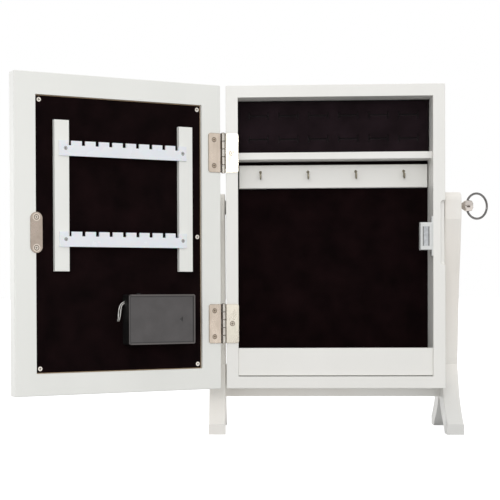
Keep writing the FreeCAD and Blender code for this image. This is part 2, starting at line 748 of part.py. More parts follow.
def light_strip():
    """Loop of tape with small lamps on the back of the glass."""
    a = ledge_w + glass_play + strip_in
    y0 = glass_y + glass_t
    loop = window(a, a, y0, y0 + strip_t).cut(window(a + strip_w, a + strip_w, y0 - 1, y0 + strip_t + 1))
    return loop


def lead_points(side):
    """One strand: box wall, free bow, slot in the panel, then down to the light strip."""
    x, y = door_x0 + bat_a + bat_w, felt_y
    q, bow, up, down = side * lead_apart / 2, lead_bow, z_bot + lead_up, z_bot + lead_down
    tape = glass_y + glass_t + strip_t + lead_d / 2
    end = z_bot + ledge_w + glass_play + strip_in + strip_w / 2
    lift = up - down
    low = y + bat_floor + pcb_t + lead_d / 2
    hole = lead_hole_out
    return [(x - bow * 1.2, low + 0.1, up + q),
            (x - bow * 0.4, y + bat_floor + 2.2, up + q),
            (x + bow * 0.45 + q * 0.7, y + 3.4, up - lift * 0.04 + q),
            (x + bow * 0.96 + q * 1.4, y + 4.3, up - lift * 0.33),
            (x + bow + q * 1.5, y + 3.9, up - lift * 0.62),
            (x + hole + 0.4 + q * 1.2, y + 0.6, down + lift * 0.16),
            (x + hole - 0.4 + q, y - 3.9, down - lift * 0.11),
            (x + hole - 0.5 + q, tape, down - lift * 0.54),
            (x + hole - 0.5 + q, tape, end)]


def door_panel():
    p = panel_play
    board = window(stile_w + p, rail_w + p, panel_y, panel_y + panel_t)
    v = p + door_velvet_in
    felt = window(stile_w + v, rail_w + v, panel_y + panel_t, felt_y)
    x, z = door_x0 + bat_a + bat_w + lead_hole_out, z_bot + lead_down
    slot = box(x - lead_hole_w / 2, x + lead_hole_w / 2, panel_y - 1, felt_y + 1,
               z - lead_hole_h / 2, z + lead_hole_h / 2)
    for name, body in (("door_backing", board), ("door_lining", felt)):
        body = body.cut(slot)
        for q, d in panel_screws():
            body = body.cut(screw_hole(q, d, panel_screw))
        for q, d in strike_screws():
            body = body.cut(screw_hole(q, d, strike_screw))
        put(name, body, door=True)
    put("lining_screws", [screw(q, d, panel_screw) for q, d in panel_screws()], door=True)
    g = ledge_w + glass_play
    put("mirror_glass", window(g, g, glass_y, glass_y + glass_t), door=True)
    put("light_strip", light_strip(), door=True)
    put("light_leads", [tube(lead_points(1), lead_d, "lead one"),
                        tube(lead_points(-1), lead_d, "lead two")], door=True)


def earring_holder():
    y0, y1 = felt_y, felt_y + slat_t
    slats = (("hinge_side", door_x0 + slat_a), ("latch_side", door_x1 - slat_b - slat_w))
    x0, x1 = slats[0][1] + bar_in_a, slats[1][1] + slat_w - bar_in_b
    places = [((x, y1 + bar_t, z_bot + z + bar_h / 2), (0, -1, 0))
              for x in (x0 + bar_screw_a, x1 - bar_screw_b) for z in bar_z]
    holes = [screw_hole(p, d, bar_screw) for p, d in places]
    for tag, x in slats:
        body = box(x, x + slat_w, y0, y1, z_bot + slat_z, z_bot + slat_z + slat_l)
        edges = [e for e in body.Edges if e.BoundBox.YMin > y1 - 0.01]
        body = body.makeFillet(slat_round, edges)
        for h in holes:
            body = body.cut(h)
        put("earring_slat_" + tag, body, door=True)
    pitch = (x1 - x0 - 2 * notch_in) / (notch_n - 1)
    for tag, z in zip(("lower", "upper"), bar_z):
        top = z_bot + z + bar_h
        body = box(x0, x1, y1, y1 + bar_t, z_bot + z, top)
        for i in range(notch_n):
            x = x0 + notch_in + i * pitch
            body = body.cut(box(x - notch_w / 2, x + notch_w / 2, y1 - 1, y1 + bar_t + 1,
                                top - notch_d, top + 1))
        for h in holes:
            body = body.cut(h)
        put("earring_bar_" + tag, body, door=True)
    put("earring_screws", [screw(p, d, bar_screw) for p, d in places], door=True)


def strike():
    body = rounded_plate(strike_w, strike_h, strike_t, strike_w / 2 - 0.01)
    body.translate(V(door_x1 - strike_mid, door_y1, z_bot + strike_up))
    for p, d in strike_screws():
        body = body.cut(screw_hole(p, d, strike_screw))
    put("strike_plate", body, door=True)
    put("strike_screws", [screw(p, d, strike_screw) for p, d in strike_screws()], door=True)


def battery_box():
    x0, z0, y0 = door_x0 + bat_a, z_bot + bat_z, felt_y
    x1, z1, y1 = x0 + bat_w, z0 + bat_h, y0 + bat_d
    w, g = bat_wall, bat_groove
    body = box(x0, x1, y0, y1, z0, z1)
    edges = [e for e in body.Edges if abs(e.tangentAt(e.FirstParameter).y) > 0.99]
    body = body.makeFillet(2.0, edges)
    body = body.cut(box(x0 + w, x1 - w, y0 + bat_floor, y1 + 1, z0 + w, z1 - w))
    lid_y1 = y1 - lid_drop
    lid_y0 = lid_y1 - lid_t
    # groove in three walls and the open fourth wall that the lid slides out through
    body = body.cut(box(x0 + w - g, x1 + 1, lid_y0 - lid_play / 2, lid_y1 + lid_play / 2, z0 + w - g, z1 - w + g))
    body = body.cut(box(x1 - w - 1, x1 + 1, lid_y0 - lid_play / 2, y1 + 1, z0 + w - g, z1 - w + g))
    # room for the cells' partition, the switch slot and the lead's exit
    cell_end = x0 + w + cell_a + cell_l + cell_nub_l + 0.4
    part = box(cell_end + contact_t, cell_end + contact_t + 1.2, y0 + bat_floor, lid_y0 - 1.2, z0 + w, z1 - w)
    body = fuse([body, part])
    sx = x0 + switch_at
    slot_y = y0 + bat_d * 0.45
    body = body.cut(box(sx - switch_w / 2 - switch_travel - 0.3, sx + switch_w / 2 + 0.3,
                        slot_y - switch_h / 2 - 0.3, slot_y + switch_h / 2 + 0.3, z1 - w - 1, z1 + 1))
    up = z_bot + lead_up
    body = body.cut(box(x1 - w - 1, x1 + 1, y0 + bat_floor + 0.6, y0 + bat_floor + 0.6 + lead_exit_w,
                        up - lead_exit_h / 2, up + lead_exit_h / 2))
    put("battery_box", body, door=True)
    # lid with its thumb arrow
    p = lid_play
    lid = box(x0 + w - g + p, x1, lid_y0, lid_y1, z0 + w - g + p, z1 - w + g - p)
    ax, az = x0 + bat_w * 0.2, z0 + bat_h * 0.5
    tri = Part.makePolygon([V(ax + 3, lid_y1 - 0.5, az), V(ax - 1, lid_y1 - 0.5, az + 3.2),
                            V(ax - 1, lid_y1 - 0.5, az - 3.2), V(ax + 3, lid_y1 - 0.5, az)])
    lid = lid.cut(Part.Face(tri).extrude(V(0, 1, 0)))
    put("battery_lid", lid, door=True)
    battery_inside(x0, y0, z0, cell_end, lid_y0)
    slider(sx, slot_y, z1)


def battery_inside(x0, y0, z0, cell_end, lid_y0):
    """Cells side by side with their contacts, and the board that switches the lights."""
    w = bat_wall
    pitch = (bat_h - 2 * w) / cell_n
    y = y0 + bat_floor + cell_d / 2 + 0.1
    lo, hi = x0 + w, cell_end + contact_t
    cells, springs = [], []
    for i in range(cell_n):
        z = z0 + w + pitch * (i + 0.5)
        start = x0 + w + cell_a
        cell = fuse([rod((start, y, z), (1, 0, 0), cell_d / 2, cell_l),
                     rod((start + cell_l, y, z), (1, 0, 0), cell_nub_d / 2, hi - contact_t - start - cell_l)])
        spring = Part.makeCone(4.2, 2.6, cell_a - contact_t, V(lo + contact_t, y, z), V(1, 0, 0))
        if i % 2:
            for piece in (cell, spring):
                piece.rotate(V((lo + hi) / 2, y, z), V(0, 0, 1), 180)
        cells.append(cell)
        springs.append(spring)
    put("battery_cells", cells, door=True)

    def plate(x, first, last):
        return box(x, x + contact_t, y - 5, y + 5, z0 + w + pitch * first + 1.5, z0 + w + pitch * (last + 1) - 1.5)

    plates = [fuse([plate(lo, 0, 0), springs[0]]), fuse([plate(lo, 1, 2), springs[2]]), plate(lo, 3, 3),
              fuse([plate(cell_end, 0, 1), springs[1]]), fuse([plate(cell_end, 2, 3), springs[3]])]
    put("battery_contacts", plates, door=True)
    bx = hi + 1.2 + 0.5
    x1 = x0 + bat_w
    board = box(bx, x1 - w - 0.3, y0 + bat_floor, y0 + bat_floor + pcb_t, z0 + w + 2, z0 + bat_h - w - 0.3)
    sx = x0 + switch_at
    body = box(sx - 8, sx + 6, y0 + bat_floor + pcb_t, y0 + bat_d * 0.45 + 4,
               z0 + bat_h - w - 8, z0 + bat_h - w - 2.4)
    put("light_board", fuse([board, body]), door=True)


def slider(sx, slot_y, z1):
    w = bat_wall
    nub = box(sx - switch_w / 2, sx + switch_w / 2, slot_y - switch_h / 2, slot_y + switch_h / 2,
              z1 - w - 0.3 - 1.2, z1 + switch_out)
    foot = box(sx - switch_w / 2 - 1, sx + switch_w / 2 + 1, slot_y - switch_h / 2 - 1.5, slot_y + switch_h / 2 + 1.5,
               z1 - w - 0.3 - 1.2, z1 - w - 0.3)
    put("power_switch", fuse([nub, foot]), door=True)


# ---------------------------------------------------------------- build
def main():
    cabinet_box()
    ring_cushion()
    necklace_rail()
    tray()
    catch()
    stand()
    pivots()
    knobs()
    hinges()
    door_frame()
    door_panel()
    earring_holder()
    strike()
    battery_box()
    os.makedirs("parts", exist_ok=True)
    for name, shape in nodes.items():
        if not shape.isValid() or shape.Volume <= 0:
            print("check", name, shape.isValid(), shape.Volume)
        shape.exportStep("parts/%s.step" % name)
    whole = Part.makeCompound(list(nodes.values()))
    b = whole.BoundBox
    print(len(nodes), "nodes; X", round(b.XMin, 1), round(b.XMax, 1), "Y", round(b.YMin, 1),
          round(b.YMax, 1), "Z", round(b.ZMin, 2), round(b.ZMax, 1))
    return nodes


main()
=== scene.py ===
# %% [markdown]
# # A table-top jewelry mirror cabinet
# The cabinet stands open: a white box on a tilting stand, black velvet inside, and a mirror
# door that swings out to the left. The hard pieces come measured from CAD and only get their
# finishes here. The soft ones, velvet and cushion, are made here as surfaces.

# %% Load the measured model
import bpy
import json
import math
import numpy as np
from mathutils import Matrix, Vector


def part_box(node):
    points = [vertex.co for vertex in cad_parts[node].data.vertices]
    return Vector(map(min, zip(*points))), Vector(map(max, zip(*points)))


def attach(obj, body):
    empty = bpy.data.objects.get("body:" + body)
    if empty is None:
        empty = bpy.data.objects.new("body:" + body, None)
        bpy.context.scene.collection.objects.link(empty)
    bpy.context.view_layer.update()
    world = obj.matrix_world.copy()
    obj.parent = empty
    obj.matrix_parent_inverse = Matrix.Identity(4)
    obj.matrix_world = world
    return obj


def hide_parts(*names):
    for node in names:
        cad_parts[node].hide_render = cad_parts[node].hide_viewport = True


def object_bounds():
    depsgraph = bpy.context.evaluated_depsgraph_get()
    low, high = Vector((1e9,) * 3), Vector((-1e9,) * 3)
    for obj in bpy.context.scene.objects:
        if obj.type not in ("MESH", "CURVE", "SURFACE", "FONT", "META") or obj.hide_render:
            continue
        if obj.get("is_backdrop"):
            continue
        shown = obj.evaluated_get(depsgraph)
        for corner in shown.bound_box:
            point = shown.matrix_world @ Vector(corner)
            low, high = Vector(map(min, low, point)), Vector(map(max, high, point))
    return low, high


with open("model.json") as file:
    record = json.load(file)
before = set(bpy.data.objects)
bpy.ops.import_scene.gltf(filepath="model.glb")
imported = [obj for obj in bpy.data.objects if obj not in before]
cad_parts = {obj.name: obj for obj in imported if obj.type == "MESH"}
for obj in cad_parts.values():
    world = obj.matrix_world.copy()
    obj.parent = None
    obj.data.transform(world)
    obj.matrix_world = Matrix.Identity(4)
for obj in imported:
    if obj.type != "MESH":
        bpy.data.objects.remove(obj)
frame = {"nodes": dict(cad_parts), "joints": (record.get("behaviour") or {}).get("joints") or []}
nodes = frame["nodes"]
cad_low, cad_high = (list(corner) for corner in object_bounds())
print(len(nodes), "pieces, from", cad_low, "to", cad_high)

# %% [markdown]
# ## Where the camera stands
# The photograph was taken from a little more than a metre and a half away with a long lens,
# held almost level. The picture is a crop of a larger one, so its centre is not where the
# lens pointed. A lens shift gives the same crop without tilting the camera.

# %% Camera
MM = 0.001
PICTURE = 500.0                       # pixels along each side
FOCAL_PX = 1327.28
CENTRE_PX = (179.83, 308.99)          # where the lens pointed
CAMERA_AT = Vector((-17.89, -1668.71, 179.99)) * MM
YAW, PITCH, ROLL = (math.radians(a) for a in (2.8166, -0.7472, -0.2384))


def camera_axes(yaw, pitch, roll):
    """Right, up and forward of a camera: turned about Z by yaw, tipped up by pitch, rolled."""
    right = Vector((math.cos(yaw), math.sin(yaw), 0))
    level = Vector((-math.sin(yaw), math.cos(yaw), 0))
    up = Vector((0, 0, 1))
    forward = math.cos(pitch) * level + math.sin(pitch) * up
    tipped = -math.sin(pitch) * level + math.cos(pitch) * up
    return (math.cos(roll) * right + math.sin(roll) * tipped,
            -math.sin(roll) * right + math.cos(roll) * tipped, forward)


right, up, forward = camera_axes(YAW, PITCH, ROLL)
camera = bpy.data.objects.new("camera", bpy.data.cameras.new("camera"))
bpy.context.scene.collection.objects.link(camera)
bpy.context.scene.camera = camera
camera.data.sensor_width = 36.0
camera.data.lens = FOCAL_PX * 36.0 / PICTURE
camera.data.shift_x = (PICTURE / 2 - CENTRE_PX[0]) / PICTURE
camera.data.shift_y = (CENTRE_PX[1] - PICTURE / 2) / PICTURE
turn = Matrix((right, up, -forward)).transposed()
camera.matrix_world = Matrix.Translation(CAMERA_AT) @ turn.to_4x4()
print("lens", round(camera.data.lens, 1), "mm")

# %% [markdown]
# ## Light, floor and background
# A white sweep in a studio: even light from all round, a large soft lamp above the camera, a
# weaker one on the right, one at the lens that reaches into gaps and corners, and one low
# down for the feet. Two more behind give the stand's legs a light edge, and a faint strip
# lights the space below. The background is pure white only for what the camera, reflections
# and glass see. The light on the object is a little lower, so white paint keeps its tone.

# %% World and lamps
SKY = 0.96                            # light from all round
scene = bpy.context.scene


def seen_by(tree, *kinds):
    """Socket that is 1 for rays of any of these kinds."""
    rays = tree.nodes.new("ShaderNodeLightPath")
    best = rays.outputs["Is %s Ray" % kinds[0]]
    for kind in kinds[1:]:
        either = tree.nodes.new("ShaderNodeMath")
        either.operation = "MAXIMUM"
        tree.links.new(best, either.inputs[0])
        tree.links.new(rays.outputs["Is %s Ray" % kind], either.inputs[1])
        best = either.outputs[0]
    return best


scene.view_settings.view_transform = "Standard"
world = bpy.data.worlds.new("studio")
scene.world = world
world.use_nodes = True
tree = world.node_tree
sky = tree.nodes["Background"]
sky.inputs["Color"].default_value = (1, 1, 1, 1)
seen = seen_by(tree, "Camera", "Glossy", "Transmission")
level = tree.nodes.new("ShaderNodeMapRange")
level.inputs["To Min"].default_value = SKY
level.inputs["To Max"].default_value = 1.0
tree.links.new(seen, level.inputs["Value"])
tree.links.new(level.outputs["Result"], sky.inputs["Strength"])


def placed(name, data):
    """New object of that data, linked into the scene."""
    thing = bpy.data.objects.new(name, data)
    scene.collection.objects.link(thing)
    return thing


def lamp(name, place, aim, size, watts, tall=None):
    """Soft lamp at a place, square or of another height, turned so that its -Z looks at the aim."""
    data = bpy.data.lights.new(name, "AREA")
    data.shape = "RECTANGLE"
    data.size, data.size_y, data.energy = size, tall or size, watts
    thing = placed(name, data)
    thing.location = place
    look = (Vector(aim) - Vector(place)).to_track_quat("-Z", "Y")
    thing.rotation_mode = "QUATERNION"
    thing.rotation_quaternion = look
    thing.visible_camera = False
    return thing


lamp("key lamp", (-0.28, -1.78, 0.84), (0.0, 0, 0.30), 0.5, 4.4)
lamp("fill lamp", (0.95, -1.75, 0.45), (0.1, 0, 0.25), 0.7, 0.9)
lamp("lens lamp", (-0.06, -1.80, 0.47), (0.0, 0, 0.25), 0.25, 2.3)
lamp("low lamp", (0.55, -1.70, 0.10), (0.1, 0, 0.12), 0.3, 1.3)
lamp("back lamp", (0.2, 1.6, 1.4), (0, 0, 0.25), 1.0, 2.0)
lamp("low side lamp", (-1.3, 0.9, 0.35), (0.1, 0, 0.1), 0.8, 3.5)
lamp("strip lamp", (0.095, 0.012, 0.014), (0.095, 0.075, 0.055), 0.26, 0.022, 0.02)


# %% Floor
def quad(name, corners):
    """Object of one face with these corners."""
    mesh = bpy.data.meshes.new(name)
    mesh.from_pydata(corners, [], [(0, 1, 2, 3)])
    return placed(name, mesh)


def quad_floor(reach):
    """Flat square on z = 0."""
    return quad("floor", [(-reach, -reach, 0), (reach, -reach, 0), (reach, reach, 0), (-reach, reach, 0)])


FLOOR_TONE, FLOOR_LIFT = 0.42, 0.84   # grey of the paper, and its own glow where it is seen
FLOOR_REACH = 30.0                    # metres
floor = quad_floor(FLOOR_REACH)
floor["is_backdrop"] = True
paper = bpy.data.materials.new("white sweep")
paper.use_nodes = True
tree = paper.node_tree
tree.nodes.clear()
out = tree.nodes.new("ShaderNodeOutputMaterial")
flat = tree.nodes.new("ShaderNodeBsdfDiffuse")
flat.inputs["Color"].default_value = (FLOOR_TONE, FLOOR_TONE, FLOOR_TONE, 1)
glow = tree.nodes.new("ShaderNodeEmission")
add = tree.nodes.new("ShaderNodeAddShader")
lift = tree.nodes.new("ShaderNodeMath")
lift.operation = "MULTIPLY"
lift.inputs[1].default_value = FLOOR_LIFT
tree.links.new(seen_by(tree, "Camera", "Glossy"), lift.inputs[0])
tree.links.new(lift.outputs[0], glow.inputs["Strength"])
tree.links.new(flat.outputs[0], add.inputs[0])
tree.links.new(glow.outputs[0], add.inputs[1])
tree.links.new(add.outputs[0], out.inputs["Surface"])
floor.data.materials.append(paper)

# %% [markdown]
# ## A dark room behind the camera
# Polished metal shows what stands round it. In a studio that is white paper and, behind the
# camera, a dark room. A soft-edged grey card that only reflections can see stands for the
# room, so the chrome and the nickel get their dark bands and nothing else changes. A small
# black flag in front on the right, of the kind a product photographer sets beside polished
# things, gives the knob the dark line along its lower side.

# %% Dark card for reflections
ROOM_TONE = (0.16, 0.14, 0.13, 1)


def make_card(name, middle, wide, tall, solid):
    """Upright rectangle that faces along Y, dark out to a share of its half size, then fading."""
    x, y, z = middle
    w, t = wide / 2, tall / 2
    thing = quad(name, [(x - w, y, z - t), (x + w, y, z - t), (x + w, y, z + t), (x - w, y, z + t)])
    for ray in ("camera", "diffuse", "shadow", "transmission", "volume_scatter"):
        setattr(thing, "visible_" + ray, False)
    material = bpy.data.materials.new(name)
    material.use_nodes = True
    tree = material.node_tree
    tree.nodes.clear()
    new, link = tree.nodes.new, tree.links.new
    place, spread = new("ShaderNodeTexCoord"), new("ShaderNodeMapping")
    ball = new("ShaderNodeVectorMath")
    spread.inputs["Location"].default_value = (-x / w, 0, -z / t)
    spread.inputs["Scale"].default_value = (1 / w, 0, 1 / t)
    ball.operation = "LENGTH"
    edge = new("ShaderNodeMapRange")
    edge.interpolation_type = "SMOOTHSTEP"
    edge.inputs["From Min"].default_value = solid
    edge.inputs["From Max"].default_value = 1.0
    dark, clear, mix, out = (new("ShaderNodeEmission"), new("ShaderNodeBsdfTransparent"),
                             new("ShaderNodeMixShader"), new("ShaderNodeOutputMaterial"))
    dark.inputs["Color"].default_value = ROOM_TONE
    link(place.outputs["Object"], spread.inputs["Vector"])
    link(spread.outputs["Vector"], ball.inputs[0])
    link(ball.outputs["Value"], edge.inputs["Value"])
    link(edge.outputs["Result"], mix.inputs["Fac"])
    link(dark.outputs[0], mix.inputs[1])
    link(clear.outputs[0], mix.inputs[2])
    link(mix.outputs[0], out.inputs["Surface"])
    thing.data.materials.append(material)
    return thing


make_card("dark room", (0, -2.6, 0.25), 3.4, 2.3, 0.35)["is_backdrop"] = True
make_card("black flag", (0.345, -0.20, 0.205), 0.15, 0.20, 0.85)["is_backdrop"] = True

# %% [markdown]
# ## The door's own directions
# The door stands open at 150 degrees, so its pieces lie askew to X and Y. Everything on it
# is easier to work out as if it were closed, and then carried round the hinge's axis.

# %% Closed and open
hinge = next(j for j in frame["joints"] if j["name"] == "door_hinge")
AXIS = np.array(hinge["pos_m"][:2])
SWING = math.radians(hinge["range_deg"][1])


def turned(points, angle):
    """Points turned about the hinge's upright axis by an angle."""
    c, s = math.cos(angle), math.sin(angle)
    flat = points[..., :2] - AXIS
    out = points.copy()
    out[..., 0] = c * flat[..., 0] - s * flat[..., 1] + AXIS[0]
    out[..., 1] = s * flat[..., 0] + c * flat[..., 1] + AXIS[1]
    return out


def mesh_points(name):
    """Corner points of a CAD piece as an array."""
    mesh = nodes[name].data
    flat = np.zeros(len(mesh.vertices) * 3)
    mesh.vertices.foreach_get("co", flat)
    return flat.reshape(-1, 3)


def closed_box(name, door=True):
    """Lowest and highest corner of a piece, carried back to the closed door if it is on it."""
    if not door:
        return [np.array(corner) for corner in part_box(name)]
    points = turned(mesh_points(name), SWING)
    return points.min(0), points.max(0)


print("door open", round(math.degrees(SWING)), "degrees about", AXIS)

# %% [markdown]
# ## Finishes
# Each finish is a Principled shader fed by small shared effects: mottle changes a colour
# softly over the surface, and relief gives the fine height of paint, nap or moulded skin.
# They read Object coordinates in metres, so a scale of 500 means spots about 2 mm across.


# %% Shared effects
def new_group(name, inputs, outputs):
    """Empty shader node group with named sockets; returns it with its two end nodes."""
    group = bpy.data.node_groups.new(name, "ShaderNodeTree")
    for label, kind, value in inputs:
        socket = group.interface.new_socket(label, in_out="INPUT", socket_type=kind)
        socket.default_value = value
    for label, kind in outputs:
        group.interface.new_socket(label, in_out="OUTPUT", socket_type=kind)
    return group, group.nodes.new("NodeGroupInput"), group.nodes.new("NodeGroupOutput")


FLOAT, COLOR, VECTOR = "NodeSocketFloat", "NodeSocketColor", "NodeSocketVector"


def make_mottle():
    """Colour between A and B, following noise whose spots are 1/Scale metres."""
    group, start, end = new_group(
        "mottle", [("A", COLOR, (1, 1, 1, 1)), ("B", COLOR, (0, 0, 0, 1)), ("Scale", FLOAT, 50.0),
                   ("Stretch", VECTOR, (1, 1, 1)), ("Low", FLOAT, 0.35), ("High", FLOAT, 0.65)],
        [("Color", COLOR), ("Mask", FLOAT)])
    new, link = group.nodes.new, group.links.new
    place = new("ShaderNodeTexCoord")
    stretch = new("ShaderNodeVectorMath")
    stretch.operation = "MULTIPLY"
    noise = new("ShaderNodeTexNoise")
    noise.inputs["Detail"].default_value = 4.0
    span = new("ShaderNodeMapRange")
    blend = new("ShaderNodeMix")
    blend.data_type = "RGBA"
    link(place.outputs["Object"], stretch.inputs[0])
    link(start.outputs["Stretch"], stretch.inputs[1])
    link(stretch.outputs[0], noise.inputs["Vector"])
    link(start.outputs["Scale"], noise.inputs["Scale"])
    link(noise.outputs["Fac"], span.inputs["Value"])
    link(start.outputs["Low"], span.inputs["From Min"])
    link(start.outputs["High"], span.inputs["From Max"])
    link(span.outputs["Result"], blend.inputs["Factor"])
    link(start.outputs["A"], blend.inputs["A"])
    link(start.outputs["B"], blend.inputs["B"])
    link(blend.outputs["Result"], end.inputs["Color"])
    link(span.outputs["Result"], end.inputs["Mask"])
    return group


def make_relief():
    """Height from two noises: a coarse swell and a fine skin, each 0 to 1, mixed by Fine."""
    group, start, end = new_group(
        "relief", [("Coarse scale", FLOAT, 60.0), ("Fine scale", FLOAT, 1200.0), ("Fine", FLOAT, 0.5),
                   ("Stretch", VECTOR, (1, 1, 1))], [("Height", FLOAT)])
    new, link = group.nodes.new, group.links.new
    place = new("ShaderNodeTexCoord")
    stretch = new("ShaderNodeVectorMath")
    stretch.operation = "MULTIPLY"
    link(place.outputs["Object"], stretch.inputs[0])
    link(start.outputs["Stretch"], stretch.inputs[1])
    noises = []
    for label in ("Coarse scale", "Fine scale"):
        noise = new("ShaderNodeTexNoise")
        noise.inputs["Detail"].default_value = 2.0
        link(stretch.outputs[0], noise.inputs["Vector"])
        link(start.outputs[label], noise.inputs["Scale"])
        noises.append(noise)
    blend = new("ShaderNodeMix")
    link(start.outputs["Fine"], blend.inputs["Factor"])
    link(noises[0].outputs["Fac"], blend.inputs["A"])
    link(noises[1].outputs["Fac"], blend.inputs["B"])
    link(blend.outputs["Result"], end.inputs["Height"])
    return group


MOTTLE, RELIEF = make_mottle(), make_relief()


# %% One recipe for every finish
def finish(name, color, other=None, scale=40.0, stretch=(1, 1, 1), low=0.35, high=0.65,
           rough=(0.4, 0.5), metal=0.0, bump=0.0, coarse=60.0, fine=1200.0, mix=0.5, reach=0.0002,
           **sockets):
    """Principled material: mottled colour and roughness, relief as bump, plain sockets by name."""
    material = bpy.data.materials.new(name)
    material.use_nodes = True
    tree = material.node_tree
    shader = tree.nodes["Principled BSDF"]
    spots = tree.nodes.new("ShaderNodeGroup")
    spots.node_tree = MOTTLE
    spots.inputs["A"].default_value = (*color, 1)
    spots.inputs["B"].default_value = (*(other or color), 1)
    spots.inputs["Scale"].default_value = scale
    spots.inputs["Stretch"].default_value = stretch
    spots.inputs["Low"].default_value = low
    spots.inputs["High"].default_value = high
    tree.links.new(spots.outputs["Color"], shader.inputs["Base Color"])
    gloss = tree.nodes.new("ShaderNodeMapRange")
    gloss.inputs["To Min"].default_value, gloss.inputs["To Max"].default_value = rough
    tree.links.new(spots.outputs["Mask"], gloss.inputs["Value"])
    tree.links.new(gloss.outputs["Result"], shader.inputs["Roughness"])
    shader.inputs["Metallic"].default_value = metal
    if bump:
        skin = tree.nodes.new("ShaderNodeGroup")
        skin.node_tree = RELIEF
        skin.inputs["Coarse scale"].default_value = coarse
        skin.inputs["Fine scale"].default_value = fine
        skin.inputs["Fine"].default_value = mix
        skin.inputs["Stretch"].default_value = stretch
        raise_it = tree.nodes.new("ShaderNodeBump")
        raise_it.inputs["Strength"].default_value = bump
        raise_it.inputs["Distance"].default_value = reach
        tree.links.new(skin.outputs["Height"], raise_it.inputs["Height"])
        tree.links.new(raise_it.outputs["Normal"], shader.inputs["Normal"])
    for label, value in sockets.items():
        shader.inputs[label.replace("_", " ")].default_value = value
    return material


def dress(material, *names):
    """Puts a finish on CAD pieces."""
    for name in names:
        thing = nodes[name]
        if not thing.material_slots:
            thing.data.materials.append(material)
        for slot in thing.material_slots:
            slot.material = material


# %% [markdown]
# ## Painted shade, dark joints and wear that follow the shape
# Small fittings look real through the dark lines round them: painted shade in the cross of a
# screw and in the ring where its head sits in a plate, and the dark joints of a hinge's barrel.
# Each is a mask worked out from Object coordinates, so it stays on the piece from every side.
# The masks are sums of distances made with Math nodes, and stain() lays a colour over a finish
# where a mask is 1.


# %% Masks from a place
def math_in(tree):
    """A function that adds one Math node to a tree: its kind, then sockets or numbers."""
    def result(kind, *values):
        node = tree.nodes.new("ShaderNodeMath")
        node.operation = kind
        for socket, value in zip(node.inputs, values):
            if isinstance(value, (int, float)):
                socket.default_value = value
            else:
                tree.links.new(value, socket)
        return node.outputs[0]
    return result


def place_in(tree, closed=False):
    """Object coordinates as a vector socket, carried back to the closed door if asked."""
    place = tree.nodes.new("ShaderNodeTexCoord").outputs["Object"]
    if not closed:
        return place
    carry = tree.nodes.new("ShaderNodeMapping")
    carry.inputs["Rotation"].default_value = (0, 0, SWING)
    moved = turned(np.zeros(3), SWING)
    carry.inputs["Location"].default_value = (moved[0], moved[1], 0)
    tree.links.new(place, carry.inputs["Vector"])
    return carry.outputs["Vector"]


def split(tree, vector):
    """X, Y and Z sockets of a vector."""
    parts = tree.nodes.new("ShaderNodeSeparateXYZ")
    tree.links.new(vector, parts.inputs["Vector"])
    return parts.outputs


def fade(tree, value, full, none):
    """Mask that is 1 where value is at full and falls smoothly to 0 where it is at none."""
    ramp = tree.nodes.new("ShaderNodeMapRange")
    ramp.interpolation_type = "SMOOTHSTEP"
    low, high = sorted((full, none))
    ramp.inputs["From Min"].default_value, ramp.inputs["From Max"].default_value = low, high
    ramp.inputs["To Min"].default_value = 1.0 if full < none else 0.0
    ramp.inputs["To Max"].default_value = 0.0 if full < none else 1.0
    tree.links.new(value, ramp.inputs["Value"])
    return ramp.outputs["Result"]


def lay_colour(material, mask, color, rough=None):
    """Mixes a colour, and a roughness if given, over a finish where the mask is 1."""
    tree = material.node_tree
    shader = tree.nodes["Principled BSDF"]
    for label, value, kind in (("Base Color", (*color, 1), "RGBA"), ("Roughness", rough, "FLOAT")):
        if value is None:
            continue
        socket = shader.inputs[label]
        before = socket.links[0].from_socket
        blend = tree.nodes.new("ShaderNodeMix")
        blend.data_type = kind
        ends = [end for end in blend.inputs if end.enabled]
        tree.links.new(mask, ends[0])
        tree.links.new(before, ends[1])
        ends[2].default_value = value
        tree.links.new([end for end in blend.outputs if end.enabled][0], socket)


def edge_gap(math_node, x, z, low, high):
    """Distance from the nearest of the four edges of a box seen from the front."""
    gaps = [math_node("MINIMUM", math_node("SUBTRACT", socket, float(low[axis])),
                      math_node("SUBTRACT", float(high[axis]), socket)) for socket, axis in ((x, 0), (z, 2))]
    return math_node("MINIMUM", *gaps)


# %% Masks round screws
SCREW_APART = 6 * MM                  # the gap in a piece's points that parts two screws


def screw_places(name, closed=False, along=1):
    """Middle of each screw of a CAD piece, and the lowest and highest point along their axis.
    The points are split wherever they leave a gap along one of the other two."""
    points = mesh_points(name)
    points = turned(points, SWING) if closed else points
    groups = [points]
    sides = [axis for axis in range(3) if axis != along]
    for axis in sides + sides[:1]:
        groups = [part for group in groups
                  for order in [group[np.argsort(group[:, axis])]]
                  for part in np.split(order, np.nonzero(np.diff(order[:, axis]) > SCREW_APART)[0] + 1)]
    middles = [(group.min(0) + group.max(0)) / 2 for group in groups]
    return middles, points[:, along].min(), points[:, along].max()


def screw_gap(tree, place, middles, along=1):
    """Distance across the screws' axis to the nearest screw."""
    keep = [0.0 if axis == along else 1.0 for axis in range(3)]
    flat = tree.nodes.new("ShaderNodeVectorMath")
    flat.operation = "MULTIPLY"
    flat.inputs[1].default_value = keep
    tree.links.new(place, flat.inputs[0])
    best = None
    for middle in middles:
        gap = tree.nodes.new("ShaderNodeVectorMath")
        gap.operation = "DISTANCE"
        tree.links.new(flat.outputs[0], gap.inputs[0])
        gap.inputs[1].default_value = [float(value) * flag for value, flag in zip(middle, keep)]
        near = gap.outputs["Value"]
        best = near if best is None else math_in(tree)("MINIMUM", best, near)
    return best


def ring_mask(tree, gap, radius, half, soft):
    """1 within half of a circle of that radius, fading out over soft."""
    off = math_in(tree)("ABSOLUTE", math_in(tree)("SUBTRACT", gap, radius))
    return fade(tree, off, half, half + soft)
